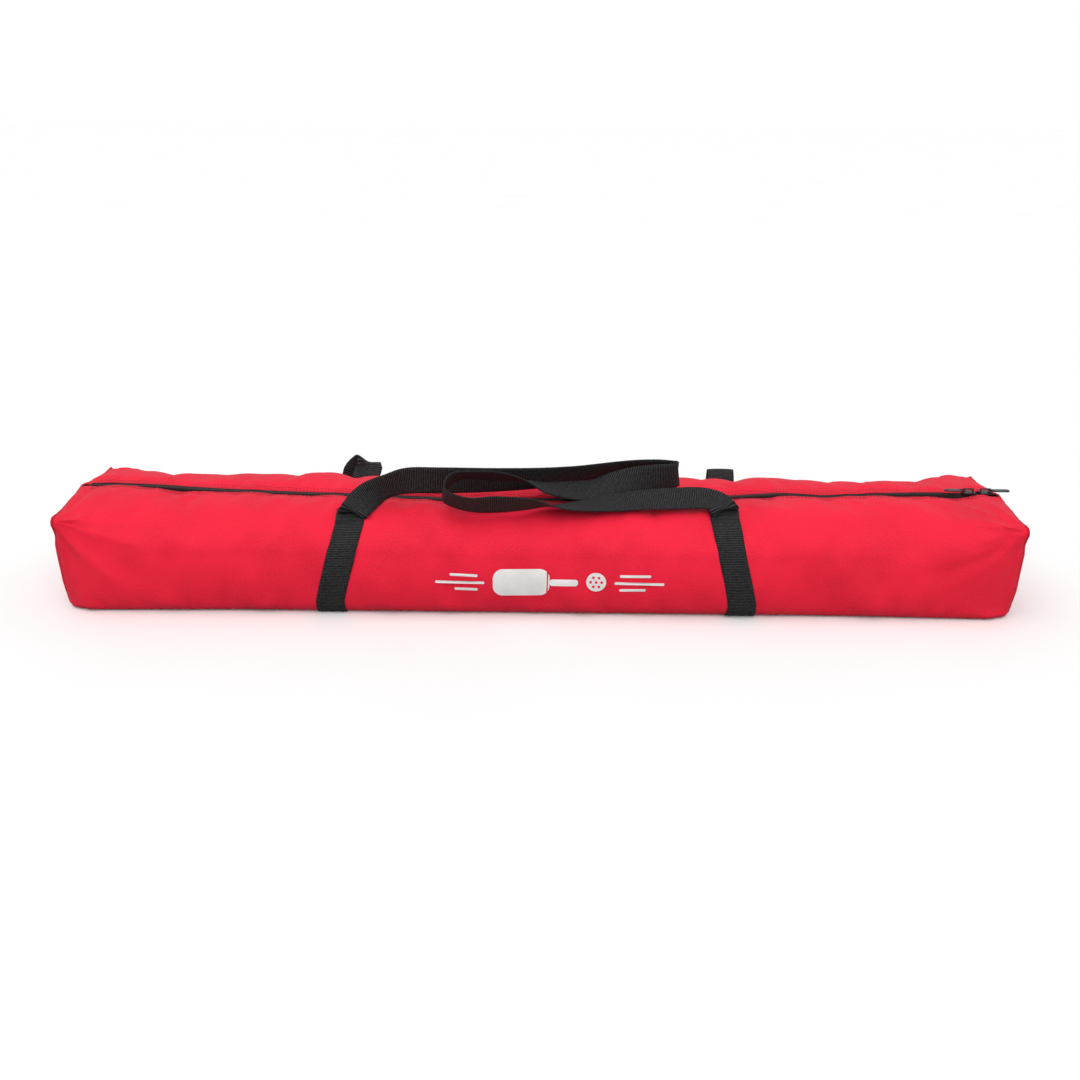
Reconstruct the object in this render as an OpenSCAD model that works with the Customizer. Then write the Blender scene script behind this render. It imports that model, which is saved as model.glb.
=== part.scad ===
// Portable pickleball net, packed: the whole kit lies inside its zipped carry bag.
// Frame: origin at the centre of the bag's flat bottom, +X along the bag, -Y to the bag's front, +Z up.
// Lengths are in millimetres.

/* [Bag] */
// Length of the bag over its end panels
bag_len = 1160; // [1150:5:1240]
// Depth of the bag, front to rear
bag_w = 204; // [203:1:230]
// Height of the bag from its flat bottom to its top panels
bag_h = 129; // [128:1:150]
// Radius of the long bottom edges
bottom_r = 34; // [26:1:36]
// Radius of the long top edges
top_r = 47; // [42:1:48]
// Thickness of the coated bag fabric and its lining
fabric_t = 2.2; // [1.8:0.1:2.4]
// Length of the two top flaps that the zip frees
flap_len = 800; // [700:10:860]
// Angle round the rear top edge, from the rear face, where the rear flap folds
rear_fold_angle = 60; // [50:1:70]

/* [Webbing] */
// Width of the carry-handle webbing
web_w = 35; // [30:1:40]
// Thickness of the webbing
web_t = 1.4; // [1.2:0.1:1.5]
// Distance from the bag's middle to each strap, at the floor
strap_x = 250; // [235:1:265]

/* [Zip] */
// Width of the closed pair of zip coils
coil_w = 8; // [7:0.5:9]
// Height of the zip coil above the top panels
coil_rise = 2.2; // [1.5:0.1:2.5]
// Rest place of the first slider along the bag
slider_a_x = 540; // [530:1:545]
// Rest place of the second slider along the bag
slider_b_x = 562; // [562:1:564]

/* [Frame tubes] */
// Outside diameter of the crossbar tubes
bar_d = 25.4; // [22:0.1:26]
// Length of each crossbar, with its reduced end
bar_len = 1060; // [1000:5:1080]
// Outside diameter of the posts and the base feet
post_d = 28; // [25:0.5:28]
// Length of each net post
post_len = 890; // [800:5:900]
// Wall thickness of every tube
tube_wall = 1.2; // [1:0.1:1.6]
// Length of the foot of each side base
side_foot_len = 610; // [560:5:620]

/* [Net] */
// Height of the net, which is the length of its roll
net_height = 914; // [860:2:920]
// Width of the white band along the net's top edge
band_w = 50; // [40:1:60]

/* [Hidden] */

$fn = 48;
eps = 0.02;
fold_gap = 0.3;
fold_gap_angle = 0.4;
sewn_gap = 0.08;
strap_stop = 1.7;

// Bag section, in the plane across the bag
end_t = 6;
inner_x = bag_len / 2 - end_t;
fold_z = bag_h - top_r;
top_cy = bag_w / 2 - top_r;
bottom_cy = bag_w / 2 - bottom_r;
flap_x = flap_len / 2;
slot_y = coil_w / 2 + 2;
corner_steps = 14;
ear_w = 210;
ear_h = 122;
ear_r = 12;

// Zip
tape_t = 0.8;
tape_w = 20;
tape_z = bag_h - fabric_t - 0.1 - tape_t;
coil_top = bag_h + coil_rise;
coil_gap = 0.9;
stop_len = 3;
slider_len = 16;
slider_w = 14;
plate_t = 1.8;
slider_clear = 0.3;
plate_z = coil_top + slider_clear;
bail_top = 4.6;
bail_bar = 1.4;
pull_axis_z = plate_z + plate_t + 1.7;
pull_len = 26;
pull_w = 8;
pull_t = 1.6;
pull_axis_dx = 4.2;

// Handles: each row is a point of the webbing's centre line and the way its outer edge faces
ribbon_t = 1.6;
ribbon_steps = 3;
front_handle_path = [
    [[-230, -80.5, 123.3], [-1, 0, 0]],
    [[-230, -73.5, 130], [-1, 0, 0]],
    [[-227, -66, 138], [-0.98, -0.1, 0.1]],
    [[-217, -58, 146], [-0.85, -0.25, 0.35]],
    [[-197, -49, 151], [-0.4, -0.45, 0.8]],
    [[-163, -41, 153], [0, -0.15, 1]],
    [[-123, -37, 152.5], [0, -0.15, 1]],
    [[-60, -30, 151.5], [0, -0.3, 0.95]],
    [[0, -20, 151.5], [0, -0.47, 0.88]],
    [[41, -8, 153], [0, -0.63, 0.78]],
    [[105, 4, 158.5], [0, -0.69, 0.72]],
    [[144, 9, 156.5], [-0.1, -0.54, 0.83]],
    [[166, 7, 153.5], [-0.1, -0.36, 0.92]],
    [[173, 1, 152.5], [-0.1, -0.3, 0.95]],
    [[162, -7, 151.5], [0, -0.2, 1]],
    [[124, -15, 149], [0, 0.2, 0.97]],
    [[97, -22, 145], [0, 0.55, 0.83]],
    [[71, -29, 141], [0, 0.88, 0.45]],
    [[41, -36, 141], [0, 0.93, 0.35]],
    [[5, -45, 147], [0, 1, 0.05]],
    [[-17, -48, 156], [0, 0.95, -0.3]],
    [[-50, -51, 163], [0, 0.83, -0.56]],
    [[-92, -57, 166], [0, 0.86, -0.5]],
    [[-108, -66, 162], [0.05, 0.83, -0.55]],
    [[-116, -82, 154.5], [-0.1, 0.78, -0.62]],
    [[-110, -89, 147], [-0.2, 0.73, -0.65]],
    [[-84, -90, 139.5], [-0.1, 0.7, -0.7]],
    [[-55, -88, 139.5], [0, 0.63, -0.78]],
    [[-14, -84, 139], [0, 0.77, -0.64]],
    [[17, -78, 134.5], [0, 0.96, -0.28]],
    [[42, -72, 132.5], [0, 1, -0.05]],
    [[90, -59, 133.5], [0, 0.95, 0.28]],
    [[121, -55, 136], [0, 0.92, 0.38]],
    [[160, -54, 138], [0, 0.88, 0.47]],
    [[188, -54, 139.5], [0.05, 0.88, 0.47]],
    [[205, -56, 139], [0.36, 0.84, 0.4]],
    [[216, -62, 136], [0.7, 0.64, 0.3]],
    [[222, -71, 130.5], [0.94, 0.3, 0.1]],
    [[223, -80.5, 123.3], [1, 0, 0]]
];
rear_handle_path = [
    [[-246, 109.8, 129], [-1, 0, 0]],
    [[-246, 112, 118], [-1, 0, 0]],
    [[-245, 113, 88], [-1, 0, 0.05]],
    [[-238, 113.5, 58], [-0.9, 0, -0.35]],
    [[-215, 114, 37], [-0.5, 0, -0.85]],
    [[-180, 114, 30], [-0.1, 0, -1]],
    [[-90, 114, 28], [0, 0, -1]],
    [[0, 114, 27], [0, 0, -1]],
    [[90, 114, 28], [0, 0, -1]],
    [[180, 114, 30], [0.1, 0, -1]],
    [[212, 114, 37], [0.5, 0, -0.85]],
    [[235, 113.5, 58], [0.9, 0, -0.35]],
    [[241, 113, 88], [1, 0, 0.05]],
    [[242, 112, 118], [1, 0, 0]],
    [[242, 109.8, 129], [1, 0, 0]]
];
left_root_x = front_handle_path[0][0].x;
right_root_x = front_handle_path[len(front_handle_path) - 1][0].x;
strap_foot_x = [-strap_x - 4, strap_x - 4];
strap_fold_x = [left_root_x - 8, right_root_x + 8];
strap_flap_x = [left_root_x - 3, right_root_x + 3];
flap_web_end = 130;
riser_top = 130;
riser_y = 107.4;

// Kit layers inside the bag, from the bottom up
bar_r = bar_d / 2;
swage_len = 32;
swage_r = 11.2;
bar_pitch = 27.2;
bar_z = 16.5;
bar_y = [for (i = [0:5]) (i - 2.5) * bar_pitch];
button_d = 6.4;
button_hole_d = 7;
button_rise = 4.5;
button_x = bar_len / 2 - swage_len / 2;
cord_r = 2;
post_r = post_d / 2;
foot_y = 84;
foot_z = 47;
post_z = 77;
side_base_x = 240;
socket_r = 16;
socket_wall = 1.5;
socket_reach = 20;
stud_r = 4;
knob_r = 14;
knob_h = 16;
knob_lobes = 5;
knob_y = 10;
centre_foot_len = 430;
centre_socket_reach = 66;
centre_knob_y = 44;
centre_post_y = 45;
centre_post_x0 = -560;
centre_post_x1 = 190;
cap_len = 24;
cap_r = 15.2;
roll_r = 28;
roll_half_w = 62;
roll_z = 93;
tie_x = 190;
tie_w = 25;
tie_t = 1.5;

fabric_red = "crimson";
webbing_black = [0.08, 0.08, 0.09];
zip_black = [0.1, 0.1, 0.1];
slider_grey = [0.2, 0.2, 0.22];
tube_black = [0.13, 0.13, 0.14];
plastic_black = [0.05, 0.05, 0.05];
rubber_black = [0.07, 0.07, 0.07];
steel_grey = [0.7, 0.71, 0.73];
net_black = [0.1, 0.1, 0.11];
band_white = [0.93, 0.93, 0.91];

// ---------------------------------------------------------------- helpers

function arc(cy, cz, r, from, to) =
    [for (i = [0:corner_steps])
        let (a = from + (to - from) * i / corner_steps)
        [cy + r * cos(a), cz + r * sin(a)]];

function reversed(list) = [for (i = [len(list) - 1:-1:0]) list[i]];

// Children are drawn in the section plane and pushed from x0 to x1
module along_x(x0, x1) {
    translate([x0, 0, 0])
        rotate([90, 0, 90])
            linear_extrude(x1 - x0)
                children();
}

module strip(outer, inner) {
    polygon(concat(outer, reversed(inner)));
}

module rod_x(x0, x1, r) {
    translate([x0, 0, 0])
        rotate([0, 90, 0])
            cylinder(h = x1 - x0, r = r);
}

module tube_x(x0, x1, r, wall) {
    difference() {
        rod_x(x0, x1, r);
        rod_x(x0 - 1, x1 + 1, r - wall);
    }
}

// ---------------------------------------------------------------- bag fabric

function front_top_line(inset) = concat(
    arc(-top_cy, fold_z, top_r - inset, 180 - fold_gap_angle, 90),
    [[-slot_y, bag_h - inset]]
);

function rear_top_line(inset) = concat(
    arc(top_cy, fold_z, top_r - inset, rear_fold_angle + fold_gap_angle, 90),
    [[slot_y, bag_h - inset]]
);

function body_line(inset) = concat(
    [[-bag_w / 2 + inset, fold_z]],
    arc(-bottom_cy, bottom_r, bottom_r - inset, 180, 270),
    arc(bottom_cy, bottom_r, bottom_r - inset, 270, 360),
    arc(top_cy, fold_z, top_r - inset, 0, rear_fold_angle)
);

module front_top_section() strip(front_top_line(0), front_top_line(fabric_t));
module rear_top_section() strip(rear_top_line(0), rear_top_line(fabric_t));

// Front face, bottom and rear face in one piece, with shallow beds for the straps under it
module bag_body() {
    bed = web_w / 2 + 0.3;
    color(fabric_red)
        difference() {
            along_x(-inner_x + eps, inner_x - eps)
                strip(body_line(0), body_line(fabric_t));
            for (x = strap_foot_x)
                translate([x - bed, -bag_w / 2, -1])
                    cube([2 * bed, bag_w, 1 + web_t + 0.05]);
        }
}

module front_top_flap() {
    color(fabric_red)
        along_x(-flap_x, flap_x)
            front_top_section();
}

module rear_top_flap() {
    color(fabric_red)
        along_x(-flap_x, flap_x)
            rear_top_section();
}

// The top panels beside a zip end that stays closed
module end_top_panels(side) {
    x0 = side > 0 ? flap_x + fold_gap : -inner_x + eps;
    color(fabric_red)
        along_x(x0, x0 + inner_x - flap_x - fold_gap - eps) {
            front_top_section();
            rear_top_section();
        }
}

module left_top_panel() end_top_panels(-1);
module right_top_panel() end_top_panels(1);

// End panel whose two top corners stand out as seam ears
module end_panel(side) {
    x0 = side > 0 ? inner_x : -bag_len / 2;
    ear_cy = ear_w / 2 - ear_r;
    outline = concat(
        arc(-bottom_cy, bottom_r, bottom_r, 180, 270),
        arc(bottom_cy, bottom_r, bottom_r, 270, 360),
        arc(ear_cy, ear_h - ear_r, ear_r, 0, 90),
        arc(-ear_cy, ear_h - ear_r, ear_r, 90, 180)
    );
    color(fabric_red)
        along_x(x0, x0 + end_t)
            polygon(outline);
}

module left_end_panel() end_panel(-1);
module right_end_panel() end_panel(1);

// ---------------------------------------------------------------- zip

// One half of the zip: the woven tape under the fabric edge and the coil that stands up in the slot
module zip_half_section(side) {
    scale([side, 1])
        polygon([
            [coil_gap, tape_z], [tape_w, tape_z], [tape_w, tape_z + tape_t],
            [coil_w / 2, tape_z + tape_t], [coil_w / 2, coil_top], [coil_gap, coil_top]
        ]);
}

module front_zip_tape() {
    color(zip_black)
        along_x(-flap_x, flap_x)
            zip_half_section(-1);
}

module rear_zip_tape() {
    color(zip_black)
        along_x(-flap_x, flap_x)
            zip_half_section(1);
}

// The last, closed stretch of the zip with its end stop
module zip_end(side) {
    x0 = side > 0 ? flap_x + fold_gap : -inner_x + eps;
    stop_x = side > 0 ? inner_x - eps - stop_len : -inner_x + eps;
    color(zip_black) {
        along_x(x0, x0 + inner_x - flap_x - fold_gap - eps) {
            zip_half_section(-1);
            zip_half_section(1);
        }
        along_x(stop_x, stop_x + stop_len)
            translate([-coil_w / 2, tape_z])
                square([coil_w, coil_top - tape_z]);
    }
}

module left_zip_end() zip_end(-1);
module right_zip_end() zip_end(1);

// Slider body: plates over and under the coils, the web between them, and the bail for the pull
module zip_slider(x) {
    under_z = tape_z - slider_clear - plate_t;
    web_half = coil_gap - slider_clear;
    bail_x = slider_len / 2 - 1;
    top_z = plate_z + plate_t;
    color(slider_grey)
        translate([x, 0, 0]) {
            translate([-slider_len / 2, -slider_w / 2, plate_z])
                cube([slider_len, slider_w, plate_t]);
            translate([-slider_len / 2, -slider_w / 2, under_z])
                cube([slider_len, slider_w, plate_t]);
            translate([-slider_len / 4, -web_half, under_z])
                cube([slider_len / 2, 2 * web_half, plate_z + plate_t - under_z]);
            translate([0, 1, top_z - eps])
                rotate([90, 0, 0])
                    linear_extrude(2)
                        difference() {
                            polygon([
                                [-bail_x, 0], [-bail_x, bail_top - 1.2], [-bail_x + 1.2, bail_top],
                                [bail_x - 1.2, bail_top], [bail_x, bail_top - 1.2], [bail_x, 0]
                            ]);
                            translate([-bail_x + bail_bar, -1])
                                square([2 * (bail_x - bail_bar), bail_top - bail_bar + 1]);
                        }
        }
}

module zip_slider_a() zip_slider(slider_a_x);
module zip_slider_b() zip_slider(slider_b_x);

// Pull tab: a cross pin under the bail, two arms beside it and a rounded tab; side is where it lies
module zip_pull(x, side) {
    arm_y = 2.4;
    arm_len = 7;
    color(slider_grey)
        translate([x + side * pull_axis_dx, 0, pull_axis_z])
            scale([side, 1, 1]) {
                rotate([90, 0, 0])
                    cylinder(h = 2 * arm_y, r = pull_t / 2, center = true);
                for (s = [-1, 1])
                    translate([0, s * (arm_y + 0.4) - 0.9, -pull_t / 2])
                        cube([arm_len + 1, 1.8, pull_t]);
                translate([0, 0, -pull_t / 2])
                    linear_extrude(pull_t)
                        difference() {
                            union() {
                                translate([arm_len, -pull_w / 2])
                                    square([pull_len - arm_len - pull_w / 2, pull_w]);
                                translate([pull_len - pull_w / 2, 0])
                                    circle(d = pull_w);
                            }
                            translate([pull_len - pull_w / 2, 0])
                                circle(d = 3);
                        }
            }
}

module zip_pull_a() zip_pull(slider_a_x, -1);
module zip_pull_b() zip_pull(slider_b_x, 1);

// ---------------------------------------------------------------- webbing and handles

function strap_line(r_grow, floor_z) =
    let (
        r = bottom_r + r_grow,
        sweep = asin((bottom_r - floor_z) / r)
    )
    concat(
        arc(-bottom_cy, bottom_r, r, 180, 180 + sweep),
        arc(bottom_cy, bottom_r, r, 360 - sweep, 360),
        [[bag_w / 2 + r_grow, riser_top - 12]],
        [[riser_y + r_grow, riser_top]]
    );

// Straps sewn down the front, where they lean in, under the bag and up to the rear handle
module carry_webbing() {
    half = web_w / 2;
    color(webbing_black)
        for (i = [0, 1]) {
            along_x(strap_foot_x[i] - half, strap_foot_x[i] + half)
                strip(strap_line(web_t, 0), strap_line(sewn_gap, web_t - sewn_gap));
            translate([0, -bag_w / 2 - sewn_gap, 0])
                rotate([90, 0, 0])
                    linear_extrude(web_t - sewn_gap)
                        polygon([
                            [strap_foot_x[i] - half, bottom_r - eps],
                            [strap_foot_x[i] + half, bottom_r - eps],
                            [strap_fold_x[i] + half, fold_z - strap_stop],
                            [strap_fold_x[i] - half, fold_z - strap_stop]
                        ]);
        }
}

// The stretch of each front strap that is sewn to the front flap's rounded edge
module flap_webbing() {
    color(webbing_black)
        for (x = strap_flap_x)
            along_x(x - web_w / 2, x + web_w / 2)
                strip(
                    arc(-top_cy, fold_z, top_r + web_t, 180 - fold_gap_angle, flap_web_end),
                    arc(-top_cy, fold_z, top_r + sewn_gap, 180 - fold_gap_angle, flap_web_end)
                );
}

function spline(a, b, c, d, t) =
    (2 * b + (c - a) * t + (2 * a - 5 * b + 4 * c - d) * t * t
        + (3 * b - a - 3 * c + d) * t * t * t) / 2;

function row(path, i) = path[min(max(i, 0), len(path) - 1)];

// Points or edge directions (part 0 or 1) along a path, with ribbon_steps between its rows
function along(path, part) = [
    for (i = [0:len(path) - 2])
        for (k = [0:ribbon_steps - 1])
            spline(
                row(path, i - 1)[part], row(path, i)[part],
                row(path, i + 1)[part], row(path, i + 2)[part], k / ribbon_steps
            ),
    path[len(path) - 1][part]
];

function unit(v) = v / norm(v);

// Flat webbing swept along a path of [point, edge direction] rows
module ribbon(path) {
    points = along(path, 0);
    edges = along(path, 1);
    last = len(points) - 1;
    corners = [
        for (i = [0:last])
            let (
                heading = unit(points[min(i + 1, last)] - points[max(i - 1, 0)]),
                across = unit(edges[i] - (edges[i] * heading) * heading),
                out = cross(heading, across)
            )
            for (c = [[-1, -1], [1, -1], [1, 1], [-1, 1]])
                points[i] + across * c[0] * web_w / 2 + out * c[1] * ribbon_t / 2
    ];
    // Both wide faces are split along the same diagonal, so a twist doesn't bring them together
    sides = [
        for (i = [0:last - 1])
            for (k = [0:3])
                let (
                    a = 4 * i + k,
                    b = 4 * i + (k + 1) % 4
                )
                for (tri = k == 2 ? [[a, b, a + 4], [b, b + 4, a + 4]]
                                  : [[a, b, b + 4], [a, b + 4, a + 4]])
                    tri
    ];
    caps = [[3, 2, 1, 0], [for (k = [0:3]) 4 * last + k]];
    polyhedron(corners, concat(sides, caps), convexity = 8);
}

module front_handle() {
    color(webbing_black)
        ribbon(front_handle_path);
}

module rear_handle() {
    color(webbing_black)
        ribbon(rear_handle_path);
}

// ---------------------------------------------------------------- frame tubes

// Tube with a reduced end that plugs into the next bar, and a hole there for the snap button
module crossbar(i) {
    x0 = -bar_len / 2;
    x1 = bar_len / 2 - swage_len;
    color(tube_black)
        translate([0, bar_y[i], bar_z])
            difference() {
                union() {
                    rod_x(x0, x1, bar_r);
                    rod_x(x1 - eps, bar_len / 2, swage_r);
                }
                rod_x(x0 - 1, x1 - 6, bar_r - tube_wall);
                rod_x(x1 - 8, bar_len / 2 + 1, swage_r - tube_wall);
                translate([button_x, 0, 0])
                    cylinder(h = bar_r, d = button_hole_d);
            }
}

// Sprung button on its leaf inside the reduced end
module snap_button(i) {
    leaf = [26, 7, 0.8];
    leaf_z = 4;
    color(steel_grey)
        translate([button_x, bar_y[i], bar_z]) {
            translate([-leaf.x + button_d, -leaf.y / 2, leaf_z])
                cube(leaf);
            translate([0, 0, leaf_z + eps])
                cylinder(h = swage_r + button_rise - leaf_z, d = button_d);
        }
}

module crossbar_1() crossbar(0);
module crossbar_2() crossbar(1);
module crossbar_3() crossbar(2);
module crossbar_4() crossbar(3);
module crossbar_5() crossbar(4);
module crossbar_6() crossbar(5);
module snap_button_1() snap_button(0);
module snap_button_2() snap_button(1);
module snap_button_3() snap_button(2);
module snap_button_4() snap_button(3);
module snap_button_5() snap_button(4);
module snap_button_6() snap_button(5);

// Elastic cords that keep neighbouring bars together, each looping out of one bar into the next
module shock_cords() {
    turn_x = -bar_len / 2 - 4;
    color(plastic_black)
        for (pair = [0:2])
            translate([turn_x, (bar_y[2 * pair] + bar_y[2 * pair + 1]) / 2, bar_z]) {
                rotate([0, 0, 90])
                    rotate_extrude(angle = 180)
                        translate([bar_pitch / 2, 0])
                            circle(cord_r);
                for (s = [-1, 1])
                    translate([0, s * bar_pitch / 2, 0])
                        rod_x(-eps, 40, cord_r);
            }
}

module net_post(side) {
    color(tube_black)
        translate([0, side * foot_y, post_z])
            tube_x(-post_len / 2, post_len / 2, post_r, tube_wall);
}

module left_post() net_post(-1);
module right_post() net_post(1);

// Plastic cap that plugs a post's top and holds the net's corner loop on its hook
module post_cap(side) {
    hook_r = 7;
    color(plastic_black)
        translate([post_len / 2, side * foot_y, post_z]) {
            rod_x(-cap_len + 4, eps, post_r - tube_wall - 0.1);
            rod_x(eps, 4, post_r);
            translate([4 + hook_r - 1, 0, 0])
                rotate([90, -160, 0])
                    rotate_extrude(angle = 270)
                        translate([hook_r, 0])
                            circle(2.2);
        }
}

module left_post_cap() post_cap(-1);
module right_post_cap() post_cap(1);

module centre_post() {
    color(tube_black)
        translate([0, centre_post_y, foot_z])
            tube_x(centre_post_x0, centre_post_x1, bar_r, tube_wall);
}

// Plastic fork on the centre post that holds up the middle of the net
module centre_cradle() {
    prong = [20, 4, 14];
    gap_half = 9;
    color(plastic_black)
        translate([centre_post_x1, centre_post_y, foot_z]) {
            rod_x(-cap_len + 4, eps, bar_r - tube_wall - 0.1);
            rod_x(eps, 6, bar_r);
            translate([5, -gap_half - prong.y, -prong.z / 2])
                cube([4, 2 * (gap_half + prong.y), prong.z]);
            for (s = [-1, 1])
                translate([8, s * (gap_half + prong.y / 2) - prong.y / 2, -prong.z / 2])
                    cube(prong);
        }
}

// ---------------------------------------------------------------- bases

// Foot tube along X at the origin, with a socket tube that stands off it along +Y to y1
module base_frame(foot_len, y1, clamp_y) {
    difference() {
        union() {
            rod_x(-foot_len / 2, foot_len / 2, post_r);
            rotate([-90, 0, 0])
                cylinder(h = y1, r = socket_r);
        }
        rod_x(-foot_len / 2 - 1, foot_len / 2 + 1, post_r - tube_wall);
        translate([0, post_r + 2, 0])
            rotate([-90, 0, 0])
                cylinder(h = y1, r = socket_r - socket_wall);
        translate([0, clamp_y, 0])
            rod_x(-socket_r - 1, 0, stud_r + 0.05);
    }
}

module side_base(side) {
    color(tube_black)
        translate([side * side_base_x, side * foot_y, foot_z])
            rotate([0, 0, side > 0 ? 180 : 0])
                base_frame(side_foot_len, foot_y + socket_reach, foot_y - knob_y);
}

module left_base() side_base(-1);
module right_base() side_base(1);

module centre_base() {
    color(tube_black)
        translate([0, 0, foot_z])
            rotate([0, 0, 180])
                base_frame(centre_foot_len, centre_socket_reach, centre_knob_y);
}

// Rubber caps on both ends of every foot
module foot_caps() {
    ends = [
        [-side_base_x - side_foot_len / 2, -foot_y, -1],
        [-side_base_x + side_foot_len / 2, -foot_y, 1],
        [side_base_x - side_foot_len / 2, foot_y, -1],
        [side_base_x + side_foot_len / 2, foot_y, 1],
        [-centre_foot_len / 2, 0, -1],
        [centre_foot_len / 2, 0, 1]
    ];
    color(rubber_black)
        for (e = ends)
            translate([e[0], e[1], foot_z])
                scale([e[2], 1, 1])
                    difference() {
                        rod_x(-cap_len, 4, cap_r);
                        rod_x(-cap_len - 1, eps, post_r + eps);
                    }
}

// Lobed clamp knob whose stud presses the post in its socket
module base_knob() {
    stud_in = 8;
    color(plastic_black) {
        rod_x(-stud_in, 6 + eps, stud_r - 0.02);
        translate([6, 0, 0])
            rotate([0, 90, 0])
                linear_extrude(knob_h)
                    difference() {
                        circle(knob_r);
                        for (k = [0:knob_lobes - 1])
                            rotate(360 * k / knob_lobes)
                                translate([knob_r + 3, 0])
                                    circle(6);
                    }
    }
}

module left_base_knob() {
    translate([-side_base_x - socket_r, -knob_y, foot_z])
        scale([-1, 1, 1])
            base_knob();
}

module right_base_knob() {
    translate([side_base_x + socket_r, knob_y, foot_z])
        base_knob();
}

module centre_base_knob() {
    translate([socket_r, -centre_knob_y, foot_z])
        base_knob();
}

// ---------------------------------------------------------------- net

module roll_section(grow) {
    flat_half = roll_half_w - roll_r;
    polygon(concat(
        arc(flat_half, roll_z, roll_r + grow, -90, 90),
        arc(-flat_half, roll_z, roll_r + grow, 90, 270)
    ));
}

// The net rolled along its length, so that the roll is as long as the net is high
module net_roll() {
    color(net_black)
        along_x(-net_height / 2 + band_w / 2, net_height / 2 - band_w)
            roll_section(0);
}

module net_headband() {
    color(band_white)
        along_x(net_height / 2 - band_w + eps, net_height / 2)
            roll_section(0.4);
}

module net_foot_tape() {
    color(webbing_black)
        along_x(-net_height / 2, -net_height / 2 + band_w / 2 - eps)
            roll_section(0.3);
}

// Hook-and-loop ties round the roll
module net_ties() {
    color(webbing_black)
        for (s = [-1, 1])
            along_x(s * tie_x - tie_w / 2, s * tie_x + tie_w / 2)
                difference() {
                    roll_section(tie_t);
                    roll_section(eps);
                }
}

bag_body();
front_top_flap();
rear_top_flap();
left_top_panel();
right_top_panel();
left_end_panel();
right_end_panel();
front_zip_tape();
rear_zip_tape();
left_zip_end();
right_zip_end();
zip_slider_a();
zip_slider_b();
zip_pull_a();
zip_pull_b();
carry_webbing();
flap_webbing();
front_handle();
rear_handle();
crossbar_1();
crossbar_2();
crossbar_3();
crossbar_4();
crossbar_5();
crossbar_6();
snap_button_1();
snap_button_2();
snap_button_3();
snap_button_4();
snap_button_5();
snap_button_6();
shock_cords();
left_post();
right_post();
left_post_cap();
right_post_cap();
centre_post();
centre_cradle();
left_base();
right_base();
centre_base();
foot_caps();
left_base_knob();
right_base_knob();
centre_base_knob();
net_roll();
net_headband();
net_foot_tape();
net_ties();
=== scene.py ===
import math

import bpy
import numpy as np
from mathutils import Matrix, Vector


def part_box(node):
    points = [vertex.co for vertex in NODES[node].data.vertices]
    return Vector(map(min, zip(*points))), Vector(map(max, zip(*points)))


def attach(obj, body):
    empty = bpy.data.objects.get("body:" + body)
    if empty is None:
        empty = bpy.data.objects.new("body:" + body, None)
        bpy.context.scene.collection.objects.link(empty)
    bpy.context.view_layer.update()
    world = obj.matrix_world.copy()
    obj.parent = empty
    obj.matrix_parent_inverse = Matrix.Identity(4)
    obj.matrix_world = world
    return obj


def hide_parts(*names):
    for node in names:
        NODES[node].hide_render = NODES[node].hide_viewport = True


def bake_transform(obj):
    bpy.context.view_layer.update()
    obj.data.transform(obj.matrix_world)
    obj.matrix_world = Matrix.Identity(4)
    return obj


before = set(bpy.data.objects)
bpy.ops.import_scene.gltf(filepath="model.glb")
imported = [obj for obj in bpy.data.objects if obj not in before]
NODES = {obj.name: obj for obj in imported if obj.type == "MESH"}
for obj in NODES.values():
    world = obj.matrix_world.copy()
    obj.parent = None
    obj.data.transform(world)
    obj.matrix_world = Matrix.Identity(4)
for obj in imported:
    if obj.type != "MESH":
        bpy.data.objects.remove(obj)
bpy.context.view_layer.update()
MM = 0.001


# -------------------- numbers helpers
def ramp(a, b, v):
    """Smooth 0 to 1 as v goes from a to b; b may be below a."""
    t = np.clip((np.asarray(v, float) - a) / (b - a), 0, 1)
    return t * t * (3 - 2 * t)


def mix(a, b, t):
    return a + (b - a) * t


def waves(u, v, terms):
    """Sum of slanted sines, each (amplitude, wavelength u, wavelength v, phase)."""
    total = np.zeros_like(u)
    for amp, lu, lv, ph in terms:
        total = total + amp * np.sin(2 * math.pi * (u / lu + v / lv) + ph)
    return total


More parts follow.
